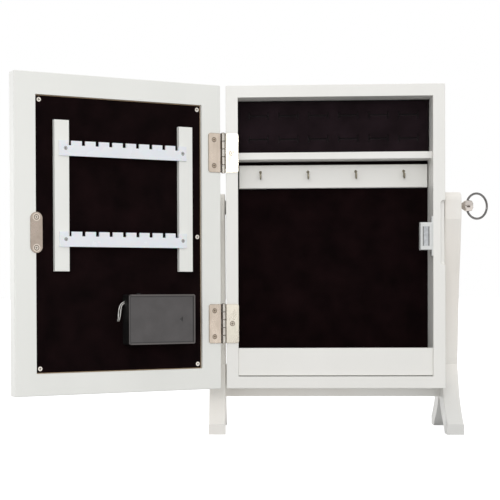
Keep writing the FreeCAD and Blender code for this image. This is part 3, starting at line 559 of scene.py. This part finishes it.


# %% [markdown]
# ## White paint
# Boards, door frame and stand are painted wood. Satin paint is not one white: it is a shade
# cooler on the sprayed door than on the stand, the roller leaves a faint skin like orange
# peel, and long soft streaks follow each board where the grain has swollen under the paint.
# The stand is painted a shade greyer low down towards the right foot: painted shade where the light falls
# off.

# %% Paint
SPRAYED = dict(rough=(0.36, 0.46), bump=0.10, coarse=90.0, fine=1100.0, mix=0.45, Specular_IOR_Level=0.4)
BRUSHED = dict(SPRAYED, rough=(0.36, 0.48), bump=0.12, coarse=80.0, fine=1000.0)
paint = finish("satin paint", (0.862, 0.852, 0.818), (0.83, 0.822, 0.788), scale=9.0,
               stretch=(1, 1, 0.4), **SPRAYED)
door_paint = finish("satin paint, door", (0.848, 0.85, 0.815), (0.815, 0.82, 0.785), scale=8.0,
                    stretch=(1, 1, 0.3), **SPRAYED)
stand_paint = finish("satin paint, stand", (0.875, 0.858, 0.82), (0.85, 0.815, 0.765), scale=10.0,
                     stretch=(1, 1, 0.35), **BRUSHED)
dress(paint, "cabinet_side_left", "cabinet_side_right", "cabinet_top", "cabinet_bottom", "back_panel",
      "shelf", "necklace_rail", "tray_front")
dress(door_paint, "door_stile_hinge", "door_stile_latch", "door_rail_top", "door_rail_bottom",
      "earring_slat_hinge_side", "earring_slat_latch_side")
# Painted shade: the stand is greyer low down towards the right foot.
FOOT_SHADE = (0.70, 0.697, 0.675)
tree = stand_paint.node_tree
side, _, height = split(tree, place_in(tree))
low_right_shade = math_in(tree)("MULTIPLY", fade(tree, height, 0.020, 0.098), fade(tree, side, 0.22, -0.10))
lay_colour(stand_paint, math_in(tree)("MULTIPLY", low_right_shade, 0.95), FOOT_SHADE)
dress(stand_paint, "stand_side_left", "stand_side_right", "stand_stretcher")

# %% [markdown]
# ## Hinges
# The hinges are pressed from plated steel. The plate is satin with a warm tint, and the
# barrel, where the two leaves turn on each other, is worn shiny and has dark joints between
# its five knuckles. Painted shade darkens the left side of the barrel, the gap beside it,
# the ring round each screw and the plate's edge.

# %% Hinge leaves
LEAVES = {"cabinet": ((0.655, 0.615, 0.535), (0.53, 0.50, 0.43)),
          "door": ((0.67, 0.575, 0.485), (0.57, 0.485, 0.405))}
# Painted shade for gaps, screw rings and the barrel's left side; also the barrel's dark joints.
SHADE_AND_JOINT_DARK = (0.075, 0.055, 0.040)
WORN = (0.93, 0.91, 0.85)
KNUCKLES = 5
SCREW_RING = (2.75 * MM, 0.25 * MM, 0.45 * MM)     # painted shade line round a plate screw: radius, half, soft


def leaf_finish(node, side):
    """Plated steel with dark joints across the barrel, and dark lines round plate and screws."""
    closed = side == "door"
    color, other = LEAVES[side]
    material = finish("plated steel, " + node, color, other, scale=160.0, stretch=(1, 1, 0.35),
                      rough=(0.24, 0.38), metal=1.0, bump=0.025, coarse=300.0, fine=2500.0, reach=0.0001)
    tree = material.node_tree
    math_node = math_in(tree)
    low, high = closed_box(node, closed)
    place = place_in(tree, closed)
    x, y, z = split(tree, place)
    pin_x, pin_y = (float(value) for value in AXIS)
    up = math_node("ABSOLUTE", math_node("SUBTRACT", z, float(low[2] + high[2]) / 2))
    half = float(high[2] - low[2]) / 2
    away = math_node("SQRT", math_node("ADD", math_node("POWER", math_node("SUBTRACT", x, pin_x), 2.0),
                                       math_node("POWER", math_node("SUBTRACT", y, pin_y), 2.0)))
    pitch = 2 * half / KNUCKLES
    joint = math_node("MINIMUM", math_node("ABSOLUTE", math_node("SUBTRACT", up, pitch / 2)),
                      math_node("ABSOLUTE", math_node("SUBTRACT", up, 1.5 * pitch)))
    barrel = fade(tree, away, 3.0 * MM, 3.3 * MM)
    rim = math_node("MINIMUM", math_node("SUBTRACT", float(high[0]), x), math_node("SUBTRACT", half, up))
    screws = screw_places("hinge_screws_" + side, closed)[0]
    ring = ring_mask(tree, screw_gap(tree, place, screws), *SCREW_RING)
    across = split(tree, place_in(tree))[0]
    shade = math_node("MULTIPLY", fade(tree, across, pin_x - 1.5 * MM, pin_x - 0.4 * MM),
                      fade(tree, away, 3.6 * MM, 4.0 * MM))
    lay_colour(material, math_node("MULTIPLY", barrel, 0.7), WORN, 0.16)
    # Painted shade on the left side of the barrel.
    lay_colour(material, math_node("MULTIPLY", shade, 0.85), SHADE_AND_JOINT_DARK, 0.5)
    # Painted shade along the plate's edge.
    lay_colour(material, math_node("MULTIPLY", fade(tree, rim, 0.2 * MM, 0.8 * MM), 0.6), (0.22, 0.19, 0.15))
    # Painted shade in the gap between barrel and plate.
    lay_colour(material, ring_mask(tree, away, 3.15 * MM, 0.2 * MM, 0.4 * MM), SHADE_AND_JOINT_DARK, 0.5)
    lay_colour(material, math_node("MULTIPLY", fade(tree, joint, 0.3 * MM, 0.75 * MM), barrel), SHADE_AND_JOINT_DARK, 0.5)
    # Painted shade round each screw head.
    lay_colour(material, math_node("MULTIPLY", ring, 0.8), SHADE_AND_JOINT_DARK, 0.5)
    return material


for side in ("cabinet", "door"):
    for tag in ("lower", "upper"):
        node = "hinge_leaf_%s_%s" % (side, tag)
        dress(leaf_finish(node, side), node)
pin_metal = finish("steel pins", (0.50, 0.47, 0.43), (0.40, 0.37, 0.33), scale=300.0,
                   rough=(0.2, 0.35), metal=1.0)
dress(pin_metal, "hinge_pins")

# %% [markdown]
# ## Screws
# All screws are plated and have a cross recess. The recess is known by its depth under the
# head's face, and painted shade darkens it and the rim of the head.


# %% Screw finish
# Painted shade in a screw's cross recess.
RECESS_SHADE = (0.03, 0.022, 0.018)


def screw_finish(name, radius, color, other, closed=False, along=1, heads="low"):
    """Plated screw, dark below the face of its head and round the head's rim, at a radius in
    mm. Its axis is X (0) or Y (1), and the heads are at its low end, its high end or both."""
    material = finish("plated screws, " + name, color, other, scale=500.0, rough=(0.2, 0.36), metal=1.0,
                      bump=0.08, reach=0.0001)
    tree = material.node_tree
    math_node = math_in(tree)
    place = place_in(tree, closed)
    middles, low, high = screw_places(name, closed, along)
    depth = split(tree, place)[along]
    if heads == "both":
        depth = math_node("ABSOLUTE", math_node("SUBTRACT", depth, float(low + high) / 2))
        face = float(high - low) / 2
    else:
        face = float(low if heads == "low" else high)
    below = math_node("ABSOLUTE", math_node("SUBTRACT", depth, face))
    gap = screw_gap(tree, place, middles, along)
    rim = fade(tree, gap, radius * MM, (radius - 0.7) * MM)
    # Painted shade round the rim of each screw head, then in the cross recess.
    lay_colour(material, math_node("MULTIPLY", rim, 0.7), SHADE_AND_JOINT_DARK)
    lay_colour(material, fade(tree, below, 0.2 * MM, 0.08 * MM), RECESS_SHADE, 0.6)
    print(name, len(middles), "screws")
    return material


for name, radius, color, other, closed, along, heads in (
        ("hinge_screws_cabinet", 2.6, (0.62, 0.56, 0.48), (0.44, 0.39, 0.33), False, 1, "low"),
        ("hinge_screws_door", 2.6, (0.58, 0.48, 0.38), (0.38, 0.31, 0.24), True, 1, "high"),
        ("lining_screws", 2.8, (0.90, 0.85, 0.78), (0.66, 0.61, 0.54), True, 1, "high"),
        ("earring_screws", 2.3, (0.56, 0.56, 0.55), (0.40, 0.40, 0.39), True, 1, "high"),
        ("strike_screws", 2.5, (0.80, 0.74, 0.66), (0.55, 0.49, 0.42), True, 1, "high"),
        ("catch_screws", 2.3, (0.56, 0.54, 0.50), (0.42, 0.40, 0.37), False, 0, "low"),
        ("back_screws", 2.8, (0.60, 0.56, 0.50), (0.46, 0.43, 0.38), False, 1, "high"),
        ("stretcher_screws", 4.0, (0.60, 0.56, 0.50), (0.46, 0.43, 0.38), False, 0, "both")):
    dress(screw_finish(name, radius, color, other, closed, along, heads), name)

# %% [markdown]
# ## Strike, catch poles, hooks and knob fittings
# The strike is a plain plate for the magnet, a shade darker than the hinges, with a painted
# highlight ring where a dimple is pressed round each screw, and painted shade round each
# head. The hooks are thin wire gone dull. The knobs are polished and mirror the white room
# in dark and light bands, and their rings are a darker chrome.

# %% Other metals
strike_metal = finish("bronze nickel", (0.40, 0.335, 0.285), (0.34, 0.285, 0.24), scale=120.0,
                      rough=(0.26, 0.42), metal=1.0, bump=0.025, coarse=250.0, fine=2200.0, reach=0.0001)
tree = strike_metal.node_tree
gap = screw_gap(tree, place_in(tree, True), screw_places("strike_screws", True)[0])
dimple_highlight = ring_mask(tree, gap, 3.9 * MM, 0.4 * MM, 0.6 * MM)
# Painted highlight: a lighter ring where a dimple round each screw would catch light.
lay_colour(strike_metal, math_in(tree)("MULTIPLY", dimple_highlight, 0.7), (0.70, 0.63, 0.55))
# Painted shade round each screw head.
lay_colour(strike_metal, math_in(tree)("MULTIPLY", ring_mask(tree, gap, *SCREW_RING), 0.8), SHADE_AND_JOINT_DARK, 0.5)
knob_metal = finish("polished chrome", (0.62, 0.57, 0.53), (0.52, 0.475, 0.44), scale=80.0,
                    rough=(0.05, 0.10), metal=1.0)
ring_metal = finish("dark chrome", (0.19, 0.182, 0.178), (0.14, 0.135, 0.132), scale=150.0,
                    rough=(0.12, 0.22), metal=1.0, Specular_Tint=(0.55, 0.54, 0.53, 1))
hook_metal = finish("aged brass", (0.36, 0.33, 0.25), (0.22, 0.20, 0.155), scale=350.0,
                    rough=(0.28, 0.45), metal=1.0, bump=0.08, reach=0.0001)
brass = finish("turned brass", (0.72, 0.55, 0.27), (0.62, 0.46, 0.22), scale=200.0, rough=(0.25, 0.35),
               metal=1.0)
nickel = finish("contact nickel", (0.50, 0.50, 0.49), (0.4, 0.4, 0.39), scale=200.0, rough=(0.2, 0.35),
                metal=1.0)
dress(strike_metal, "strike_plate")
dress(knob_metal, "clamp_knob_left", "clamp_knob_right")
dress(ring_metal, "knob_ring_left", "knob_ring_right")
dress(hook_metal, "necklace_hooks")
dress(brass, "pivot_insert_left", "pivot_insert_right")
dress(nickel, "battery_contacts")
pole_metal = finish("steel poles", (0.16, 0.16, 0.155), (0.11, 0.11, 0.105), scale=200.0,
                    rough=(0.3, 0.45), metal=0.6)
dress(pole_metal, "catch_poles")

# %% [markdown]
# ## Plastics and small things
# The battery box is made near black, darker than its lid as painted shade for its unlit side,
# and its lid dark grey, both with a fine spark texture. A painted shade line runs round the lid
# inside a painted highlight on its edge, and the box's front rim has a painted highlight too.
# The earring bars are a milky sheet that lets a little light in, cooler than the paint beside
# it. The catch is white with a bluish magnet.

# %% Plastics
dark_plastic = finish("dark grey plastic", (0.070, 0.064, 0.064), (0.058, 0.053, 0.053), scale=60.0,
                      rough=(0.34, 0.42), bump=0.25, coarse=900.0, fine=3200.0, mix=0.6, reach=0.0001)
milky = finish("milky sheet", (0.835, 0.84, 0.875), (0.81, 0.82, 0.86), scale=30.0, rough=(0.22, 0.3),
               Subsurface_Weight=0.25, Subsurface_Scale=0.004)
white_plastic = finish("white plastic", (0.70, 0.71, 0.70), (0.66, 0.67, 0.66), scale=60.0,
                       rough=(0.25, 0.35))
magnet_grey = finish("magnet", (0.52, 0.535, 0.55), (0.42, 0.435, 0.45), scale=300.0, rough=(0.35, 0.5),
                     metal=0.3, bump=0.1)
nylon = finish("nylon", (0.78, 0.78, 0.74), (0.74, 0.74, 0.70), scale=100.0, rough=(0.4, 0.5))
sleeve = finish("cell sleeve", (0.02, 0.021, 0.024), (0.03, 0.03, 0.034), scale=100.0, rough=(0.25, 0.35))
green = finish("coated board", (0.02, 0.11, 0.045), (0.016, 0.085, 0.035), scale=400.0, rough=(0.3, 0.4))
tape = finish("white tape", (0.78, 0.78, 0.73), (0.72, 0.72, 0.66), scale=120.0, rough=(0.4, 0.5))
lead = finish("clear sleeve on tinned strands", (0.78, 0.765, 0.73), (0.52, 0.50, 0.47), scale=900.0,
              stretch=(1, 1, 0.3), rough=(0.15, 0.3), metal=0.2)
raw_board = finish("raw fibreboard", (0.46, 0.33, 0.20), (0.36, 0.25, 0.15), scale=700.0,
                   stretch=(1, 1, 0.5), rough=(0.75, 0.9), bump=0.3)
# Near black as painted shade for the battery box's unlit side.
black_shaded_plastic = finish("near-black plastic, painted shade", (0.010, 0.0092, 0.0092), (0.007, 0.0065, 0.0065), scale=60.0,
                       rough=(0.42, 0.5), bump=0.2, coarse=900.0, fine=3200.0, mix=0.6, reach=0.0001,
                       Specular_IOR_Level=0.3)
EDGE_HIGHLIGHT = (0.12, 0.108, 0.105)      # painted highlight on the edges of box and lid
tree = black_shaded_plastic.node_tree
front_y = float(closed_box("battery_box")[1][1])
deep = split(tree, place_in(tree, True))[1]
# Painted highlight along the box's front rim.
lay_colour(black_shaded_plastic, fade(tree, deep, front_y - 0.15 * MM, front_y - 0.5 * MM), EDGE_HIGHLIGHT)

tree = dark_plastic.node_tree
math_node = math_in(tree)
lid_low, lid_high = closed_box("battery_lid")
lid_front = float(lid_high[1])
x, y, z = split(tree, place_in(tree, True))
inset = edge_gap(math_node, x, z, lid_low, lid_high)
line = math_node("ABSOLUTE", math_node("SUBTRACT", inset, 1.5 * MM))
# Painted shade: a dark line round the lid, inside its edge.
lay_colour(dark_plastic, math_node("MULTIPLY", fade(tree, line, 0.35 * MM, 0.8 * MM), 0.75), (0.014, 0.012, 0.012))
# Painted highlight along the lid's edge.
lay_colour(dark_plastic, fade(tree, inset, 0.2 * MM, 0.6 * MM), EDGE_HIGHLIGHT)
# Painted shade in the lid's sunk arrow.
sunk_shade = fade(tree, y, lid_front - 0.4 * MM, lid_front - 0.15 * MM)
lay_colour(dark_plastic, math_node("MULTIPLY", sunk_shade, 0.8), (0.012, 0.011, 0.011))
dress(dark_plastic, "battery_lid")
dress(black_shaded_plastic, "battery_box", "power_switch")
dress(milky, "earring_bar_lower", "earring_bar_upper")
dress(white_plastic, "catch_housing")
dress(magnet_grey, "catch_magnet")
dress(nylon, "pivot_bush_left", "pivot_bush_right")
dress(sleeve, "battery_cells")
dress(green, "light_board")
dress(tape, "light_strip")
dress(raw_board, "door_backing")

# %% [markdown]
# ## Mirror
# Silvered glass with a frosted border: the lights behind it shine through where the silver
# is left off. The band is measured from the nearest edge of the pane, which is the smallest
# of four distances, so its corners are square as on the real thing.

# %% Mirror finish
BAND = (12.0 * MM, 20.0 * MM)         # frosted strip, from the pane's edge
SILVER, FROST = (0.76, 0.79, 0.80, 1), (0.80, 0.83, 0.84, 1)
POLISH, FROST_ROUGH = 0.015, 0.55
pane_low, pane_high = closed_box("mirror_glass")
print("mirror", (pane_high - pane_low) / MM, "mm")
mirror = bpy.data.materials.new("mirror")
mirror.use_nodes = True
tree = mirror.node_tree
new, link = tree.nodes.new, tree.links.new
shader = tree.nodes["Principled BSDF"]
math_node = math_in(tree)
across, _, upward = split(tree, place_in(tree, closed=True))
nearest = edge_gap(math_node, across, upward, pane_low, pane_high)
inside = math_node("GREATER_THAN", nearest, BAND[0])
outside = math_node("LESS_THAN", nearest, BAND[1])
frosted = math_node("MULTIPLY", inside, outside)
tone = new("ShaderNodeMix")
tone.data_type = "RGBA"
tone.inputs["A"].default_value = SILVER
tone.inputs["B"].default_value = FROST
link(frosted, tone.inputs["Factor"])
link(tone.outputs["Result"], shader.inputs["Base Color"])
link(math_node("SUBTRACT", 1.0, frosted), shader.inputs["Metallic"])
haze = new("ShaderNodeMapRange")
haze.inputs["To Min"].default_value, haze.inputs["To Max"].default_value = POLISH, FROST_ROUGH
link(frosted, haze.inputs["Value"])
link(haze.outputs["Result"], shader.inputs["Roughness"])
dress(mirror, "mirror_glass")

# %% [markdown]
# ## Velvet
# Flocked velvet is nearly black seen straight on and shows a faint pale bloom at a slant.
# That bloom is the shader's sheen. Lint and the way the pile has been brushed make soft
# clouds, a shade warmer or cooler.

# %% Velvet finish
velvet = finish("black velvet", (0.0028, 0.0009, 0.0011), (0.0085, 0.0033, 0.0037), scale=38.0, low=0.3,
                high=0.75, rough=(0.92, 1.0), bump=0.5, coarse=700.0, fine=2600.0, mix=0.6, reach=0.0003,
                Specular_IOR_Level=0.04, Sheen_Weight=0.05, Sheen_Roughness=0.45)
cushion_velvet = finish("cushion velvet", (0.0085, 0.0050, 0.0062), (0.019, 0.0115, 0.0145), scale=30.0,
                        low=0.3, high=0.75, rough=(0.9, 1.0), bump=0.5, coarse=700.0, fine=2600.0, mix=0.6,
                        reach=0.0003, Specular_IOR_Level=0.06, Sheen_Weight=0.09, Sheen_Roughness=0.4)


# %% [markdown]
# ## A sheet as a grid
# Each velvet panel is a closed slab: a front surface over a grid of two parameters, a back
# of the same grid, and walls that join them round the rim and round a hole. Grid lines are
# packed closer where the cloth rolls over an edge, so the curve there is smooth.


# %% Slab helper
def packed(low, high, roll, step, extra=()):
    """Grid lines from low to high: five in each rolled edge, then about one per step."""
    edge = roll * np.array([0, 0.08, 0.25, 0.5, 0.75])
    count = max(2, int(round((high - low - 2 * roll) / step)))
    lines = np.concatenate([low + edge, np.linspace(low + roll, high - roll, count + 1), high - edge, extra])
    return np.unique(np.round(lines, 7))


def grid_faces(rows, cols, keep, start, flip):
    """Quads of a rows by cols grid of points, only where keep is true."""
    i, j = np.nonzero(keep)
    a = start + i * cols + j
    quad = np.stack([a, a + 1, a + cols + 1, a + cols], 1)
    return quad[:, ::-1] if flip else quad


def wall_faces(keep, cols, offset):
    """Quads between front and back wherever a kept cell has no kept neighbour."""
    pad = np.pad(keep, 1)
    walls = []
    rows, wide = keep.shape
    for (down, over), first, second in (((-1, 0), (0, 1), (0, 0)), ((1, 0), (1, 0), (1, 1)),
                                        ((0, -1), (0, 0), (1, 0)), ((0, 1), (1, 1), (0, 1))):
        alone = keep & ~pad[1 + down:1 + down + rows, 1 + over:1 + over + wide]
        i, j = np.nonzero(alone)
        a = (i + first[0]) * cols + j + first[1]
        b = (i + second[0]) * cols + j + second[1]
        walls.append(np.stack([a, b, b + offset, a + offset], 1))
    return np.concatenate(walls)


def holds(points, faces):
    """Signed volume inside quads: a sixth of the sum of each triangle's box product."""
    halves = np.concatenate([faces[:, [0, 1, 2]], faces[:, [0, 2, 3]]])
    a, b, c = points[halves].transpose(1, 0, 2)
    return np.einsum("ij,ij->i", a, np.cross(b, c)).sum() / 6


def solid_mesh(name, points, faces):
    """Object from points and quads: unused points go, faces turn outwards, shading is smooth."""
    used, faces = np.unique(faces, return_inverse=True)
    points, faces = points[used], faces.reshape(-1, 4)
    volume = holds(points, faces)
    if volume < 0:
        faces = faces[:, ::-1]
    mesh = bpy.data.meshes.new(name)
    mesh.from_pydata(points.tolist(), [], faces.tolist())
    mesh.shade_smooth()
    mesh.set_sharp_from_angle(angle=math.radians(50))
    print(name, len(faces), "faces,", round(abs(volume) * 1e6, 2), "cm3")
    return placed(name, mesh)


def slab(name, across, upward, front, back, hole=None, door=False, lying=False):
    """Closed slab between depth y = front(x, z) and y = back, with an optional hole (x0, x1, z0, z1).
    A lying slab swaps depth and height."""
    x, z = np.meshgrid(across, upward, indexing="ij")
    keep = np.ones((len(across) - 1, len(upward) - 1), bool)
    if hole:
        mid_x, mid_z = (across[1:] + across[:-1]) / 2, (upward[1:] + upward[:-1]) / 2
        in_x, in_z = (mid_x > hole[0]) & (mid_x < hole[1]), (mid_z > hole[2]) & (mid_z < hole[3])
        keep &= ~(in_x[:, None] & in_z[None])
    near = np.stack([x, front(x, z), z], -1).reshape(-1, 3)
    far = np.stack([x, np.full_like(x, back), z], -1).reshape(-1, 3)
    points = np.concatenate([near, far])
    if door:
        points = turned(points, -SWING)
    if lying:
        points = points[:, [0, 2, 1]]
    cols, count = len(upward), len(near)
    faces = np.concatenate([grid_faces(*x.shape, keep, 0, True), grid_faces(*x.shape, keep, count, False),
                            wall_faces(keep, cols, count)])
    return solid_mesh(name, points, faces)


def rolled(gap, roll):
    """How far cloth falls back near an edge: a quarter circle of radius roll over the gap to it."""
    inside = np.clip((roll - gap) / roll, 0, 1)
    return roll * (1 - np.sqrt(1 - inside ** 2))


def swell(x, z, height):
    """Soft unevenness of cloth glued to a board: a sum of slow waves."""
    return height * (np.sin(71 * x + 13) * np.sin(53 * z) + 0.6 * np.sin(131 * x - 37 * z)
                     + 0.4 * np.sin(97 * z + 60 * x))


# %% [markdown]
# ## Back, tray and door linings
# Velvet is wrapped over thin card and pushed in, so its edge is a small roll and not a knife
# edge. On the door it leaves a narrow raw rim of the board bare, and has a slot that the
# lights' leads go through.

# %% Linings
CLOTH_STEP = 4.0 * MM                 # grid cells of a flat panel
FACE_KEEP, FACE_SWELL = 0.00012, 0.00003     # metres behind the CAD face, and unevenness there


def lining(name, node, roll, hole=None, door=False, lying=False):
    """Velvet panel in the space of a CAD lining: its face is in front, or on top if it lies."""
    low, high = closed_box(node, door)
    if lying:
        low, high = low[[0, 2, 1]], high[[0, 2, 1]]
    out = 1 if door or lying else -1
    face, rear = (high[1], low[1]) if out > 0 else (low[1], high[1])
    across = packed(low[0], high[0], roll, CLOTH_STEP, () if hole is None else hole[:2])
    upward = packed(low[2], high[2], roll, CLOTH_STEP, () if hole is None else hole[2:])

    def front(u, v):
        gap = np.minimum.reduce([u - low[0], high[0] - u, v - low[2], high[2] - v])
        return face - out * (FACE_KEEP + rolled(gap, roll) + swell(u, v, FACE_SWELL))

    return slab(name, across, upward, front, rear, hole, door, lying)


wall = closed_box("battery_box")[1][0]      # the box's side where the leads come out
SLOT = (wall + 3.5 * MM, wall + 7.1 * MM, 143.9 * MM, 149.5 * MM)
back_velvet = lining("back_velvet", "back_lining", 1.2 * MM)
tray_velvet = lining("tray_velvet", "tray_lining", 1.2 * MM, lying=True)
door_velvet = lining("door_velvet", "door_lining", 0.9 * MM, hole=SLOT, door=True)
for piece, node, body, under in ((back_velvet, "back_lining", "cabinet", "back_panel"),
                                 (tray_velvet, "tray_lining", "cabinet", "cabinet_bottom"),
                                 (door_velvet, "door_lining", "door", "door_backing")):
    piece.data.materials.append(velvet)
    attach(piece, body)
    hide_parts(node)
    low, high = closed_box(node, body == "door")
    size = sorted((high - low).tolist())[1:]
    print(node, [round(side / MM, 1) for side in size], "mm flat")

# %% [markdown]
# ## The lights' two leads
# Two thin strands leave the battery box by a notch, bow out over the velvet and go back in
# through the slot to the lights behind the mirror. Both ends are held, so each is a short
# smooth curve with a round section and not a loose cord. A NURBS line guided by a few points
# is enough, since wire this thin bends in one easy sweep.

# %% Leads
STRAND, APART = 1.3 * MM, 0.85 * MM   # thickness, and each strand's distance from the middle
face = closed_box("door_lining")[1][1]
tape_y = closed_box("mirror_glass")[1][1] + 1.2 * MM + STRAND / 2
NOTCH_Z = 167.6 * MM


def strand(name, side):
    """Curve of one strand: notch, bow, slot, then down behind the board to the lights."""
    q = side * APART
    points = np.array([(wall - 9.0 * MM, face + 3.9 * MM, NOTCH_Z + q),
                       (wall - 3.0 * MM, face + 3.8 * MM, NOTCH_Z + q),
                       (wall + 2.6 * MM + 0.7 * q, face + 3.5 * MM, 166.8 * MM + q),
                       (wall + 5.4 * MM + 1.6 * q, face + 4.3 * MM, 160.5 * MM),
                       (wall + 6.0 * MM + 1.7 * q, face + 4.0 * MM, 153.0 * MM),
                       (wall + 5.9 * MM + 1.0 * q, face + 2.4 * MM, 147.0 * MM),
                       (wall + 5.4 * MM + q, face - 0.6 * MM, 145.0 * MM),
                       (wall + 5.0 * MM + q, face - 4.2 * MM, 144.2 * MM),
                       (wall + 4.8 * MM + q, tape_y, 138.0 * MM),
                       (wall + 4.8 * MM + q, tape_y, 112.5 * MM)])
    points = turned(points, -SWING)
    line = bpy.data.curves.new(name, "CURVE")
    line.dimensions = "3D"
    line.bevel_depth = STRAND / 2
    line.bevel_resolution = 3
    line.resolution_u = 8
    line.use_fill_caps = True
    path = line.splines.new("NURBS")
    path.points.add(len(points) - 1)
    path.points.foreach_set("co", np.hstack([points, np.ones((len(points), 1))]).ravel())
    path.order_u = 4
    path.use_endpoint_u = True
    line.materials.append(lead)
    return placed(name, line)


for name, side in (("lead_one", 1), ("lead_two", -1)):
    piece = strand(name, side)
    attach(piece, "door")
    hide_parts("light_leads")

# %% [markdown]
# ## Ring cushion
# A bar of foam in velvet with twelve slits, each ended by a short cross cut. A ring's band is
# pressed into a slit and the foam grips it. The face is a height over a grid: the edges roll
# back, the foam crowns a little between slits, and each slit is a narrow deep groove with
# lips that have been pulled in.

# %% Cushion
SLIT_COLS, SLIT_ROWS = 6, 2
SLIT_PITCH = (38.0 * MM, 30.0 * MM)
SLIT_HALF, TICK_HALF = 12.0 * MM, 3.5 * MM
low, high = closed_box("ring_cushion", door=False)
ROLL = 5.0 * MM
KEEP = 0.15 * MM                      # air between velvet and boards
CUT_DEEP, CUT_WIDE = 3.2 * MM, 0.62 * MM
LIP_DEEP, LIP_WIDE = 0.75 * MM, 3.4 * MM
FIRST_ROW = 18.7 * MM
middle = (low[0] + high[0]) / 2
slit_x = middle + (np.arange(SLIT_COLS) - (SLIT_COLS - 1) / 2) * SLIT_PITCH[0]
slit_z = low[2] + FIRST_ROW + np.arange(SLIT_ROWS) * SLIT_PITCH[1]


def segment_gap(x, z, x0, x1, z0, z1):
    """Distance from a point to a straight cut that runs along X or Z."""
    return np.hypot(x - np.clip(x, x0, x1), z - np.clip(z, z0, z1))


def slit_gap(x, z):
    """Distance to the nearest cut of any slit."""
    best = np.full_like(x, 1.0)
    for cx in slit_x:
        for cz in slit_z:
            bar = segment_gap(x, z, cx - SLIT_HALF, cx + SLIT_HALF, cz, cz)
            ticks = [segment_gap(x, z, tick, tick, cz - TICK_HALF, cz + TICK_HALF)
                     for tick in (cx - SLIT_HALF, cx + SLIT_HALF)]
            best = np.minimum.reduce([best, bar, *ticks])
    return best


def cushion_face(x, z):
    """Depth of the face: CAD face, rolled edges, groove of a bell shape at each cut, slow swell."""
    rim = np.minimum.reduce([x - low[0], high[0] - x, z - low[2], high[2] - z])
    cut = slit_gap(x, z)
    groove = CUT_DEEP * np.exp(-(cut / CUT_WIDE) ** 2) + LIP_DEEP * np.exp(-(cut / LIP_WIDE) ** 2)
    return low[1] + 0.1 * MM + rolled(rim, ROLL) + groove + swell(x, z, 0.00006)


def finer(lines, centres, reach, step):
    """Adds grid lines round each cut so that the groove is smooth."""
    extra = np.concatenate([c + np.arange(-reach, reach + step / 2, step) for c in centres])
    lines = np.unique(np.round(np.concatenate([lines, extra]), 7))
    return lines[np.concatenate([[True], np.diff(lines) > 0.12 * MM])]


ends = np.concatenate([slit_x - SLIT_HALF, slit_x + SLIT_HALF])
across = finer(packed(low[0] + KEEP, high[0] - KEEP, ROLL, 1.6 * MM), ends, 2.0 * MM, 0.3 * MM)
upward = finer(packed(low[2] + KEEP, high[2] - KEEP, ROLL, 1.5 * MM), slit_z, 2.0 * MM, 0.3 * MM)
upward = finer(upward, np.concatenate([slit_z - TICK_HALF, slit_z + TICK_HALF]), 0.9 * MM, 0.45 * MM)
cushion = slab("ring_pad", across, upward, cushion_face, high[1] - 0.1 * MM)
cushion.data.materials.append(cushion_velvet)
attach(cushion, "cabinet")
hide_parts("ring_cushion")

# %% The sizes at the end
low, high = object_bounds()
{"cad": [cad_low, cad_high], "visual": [list(low), list(high)]}
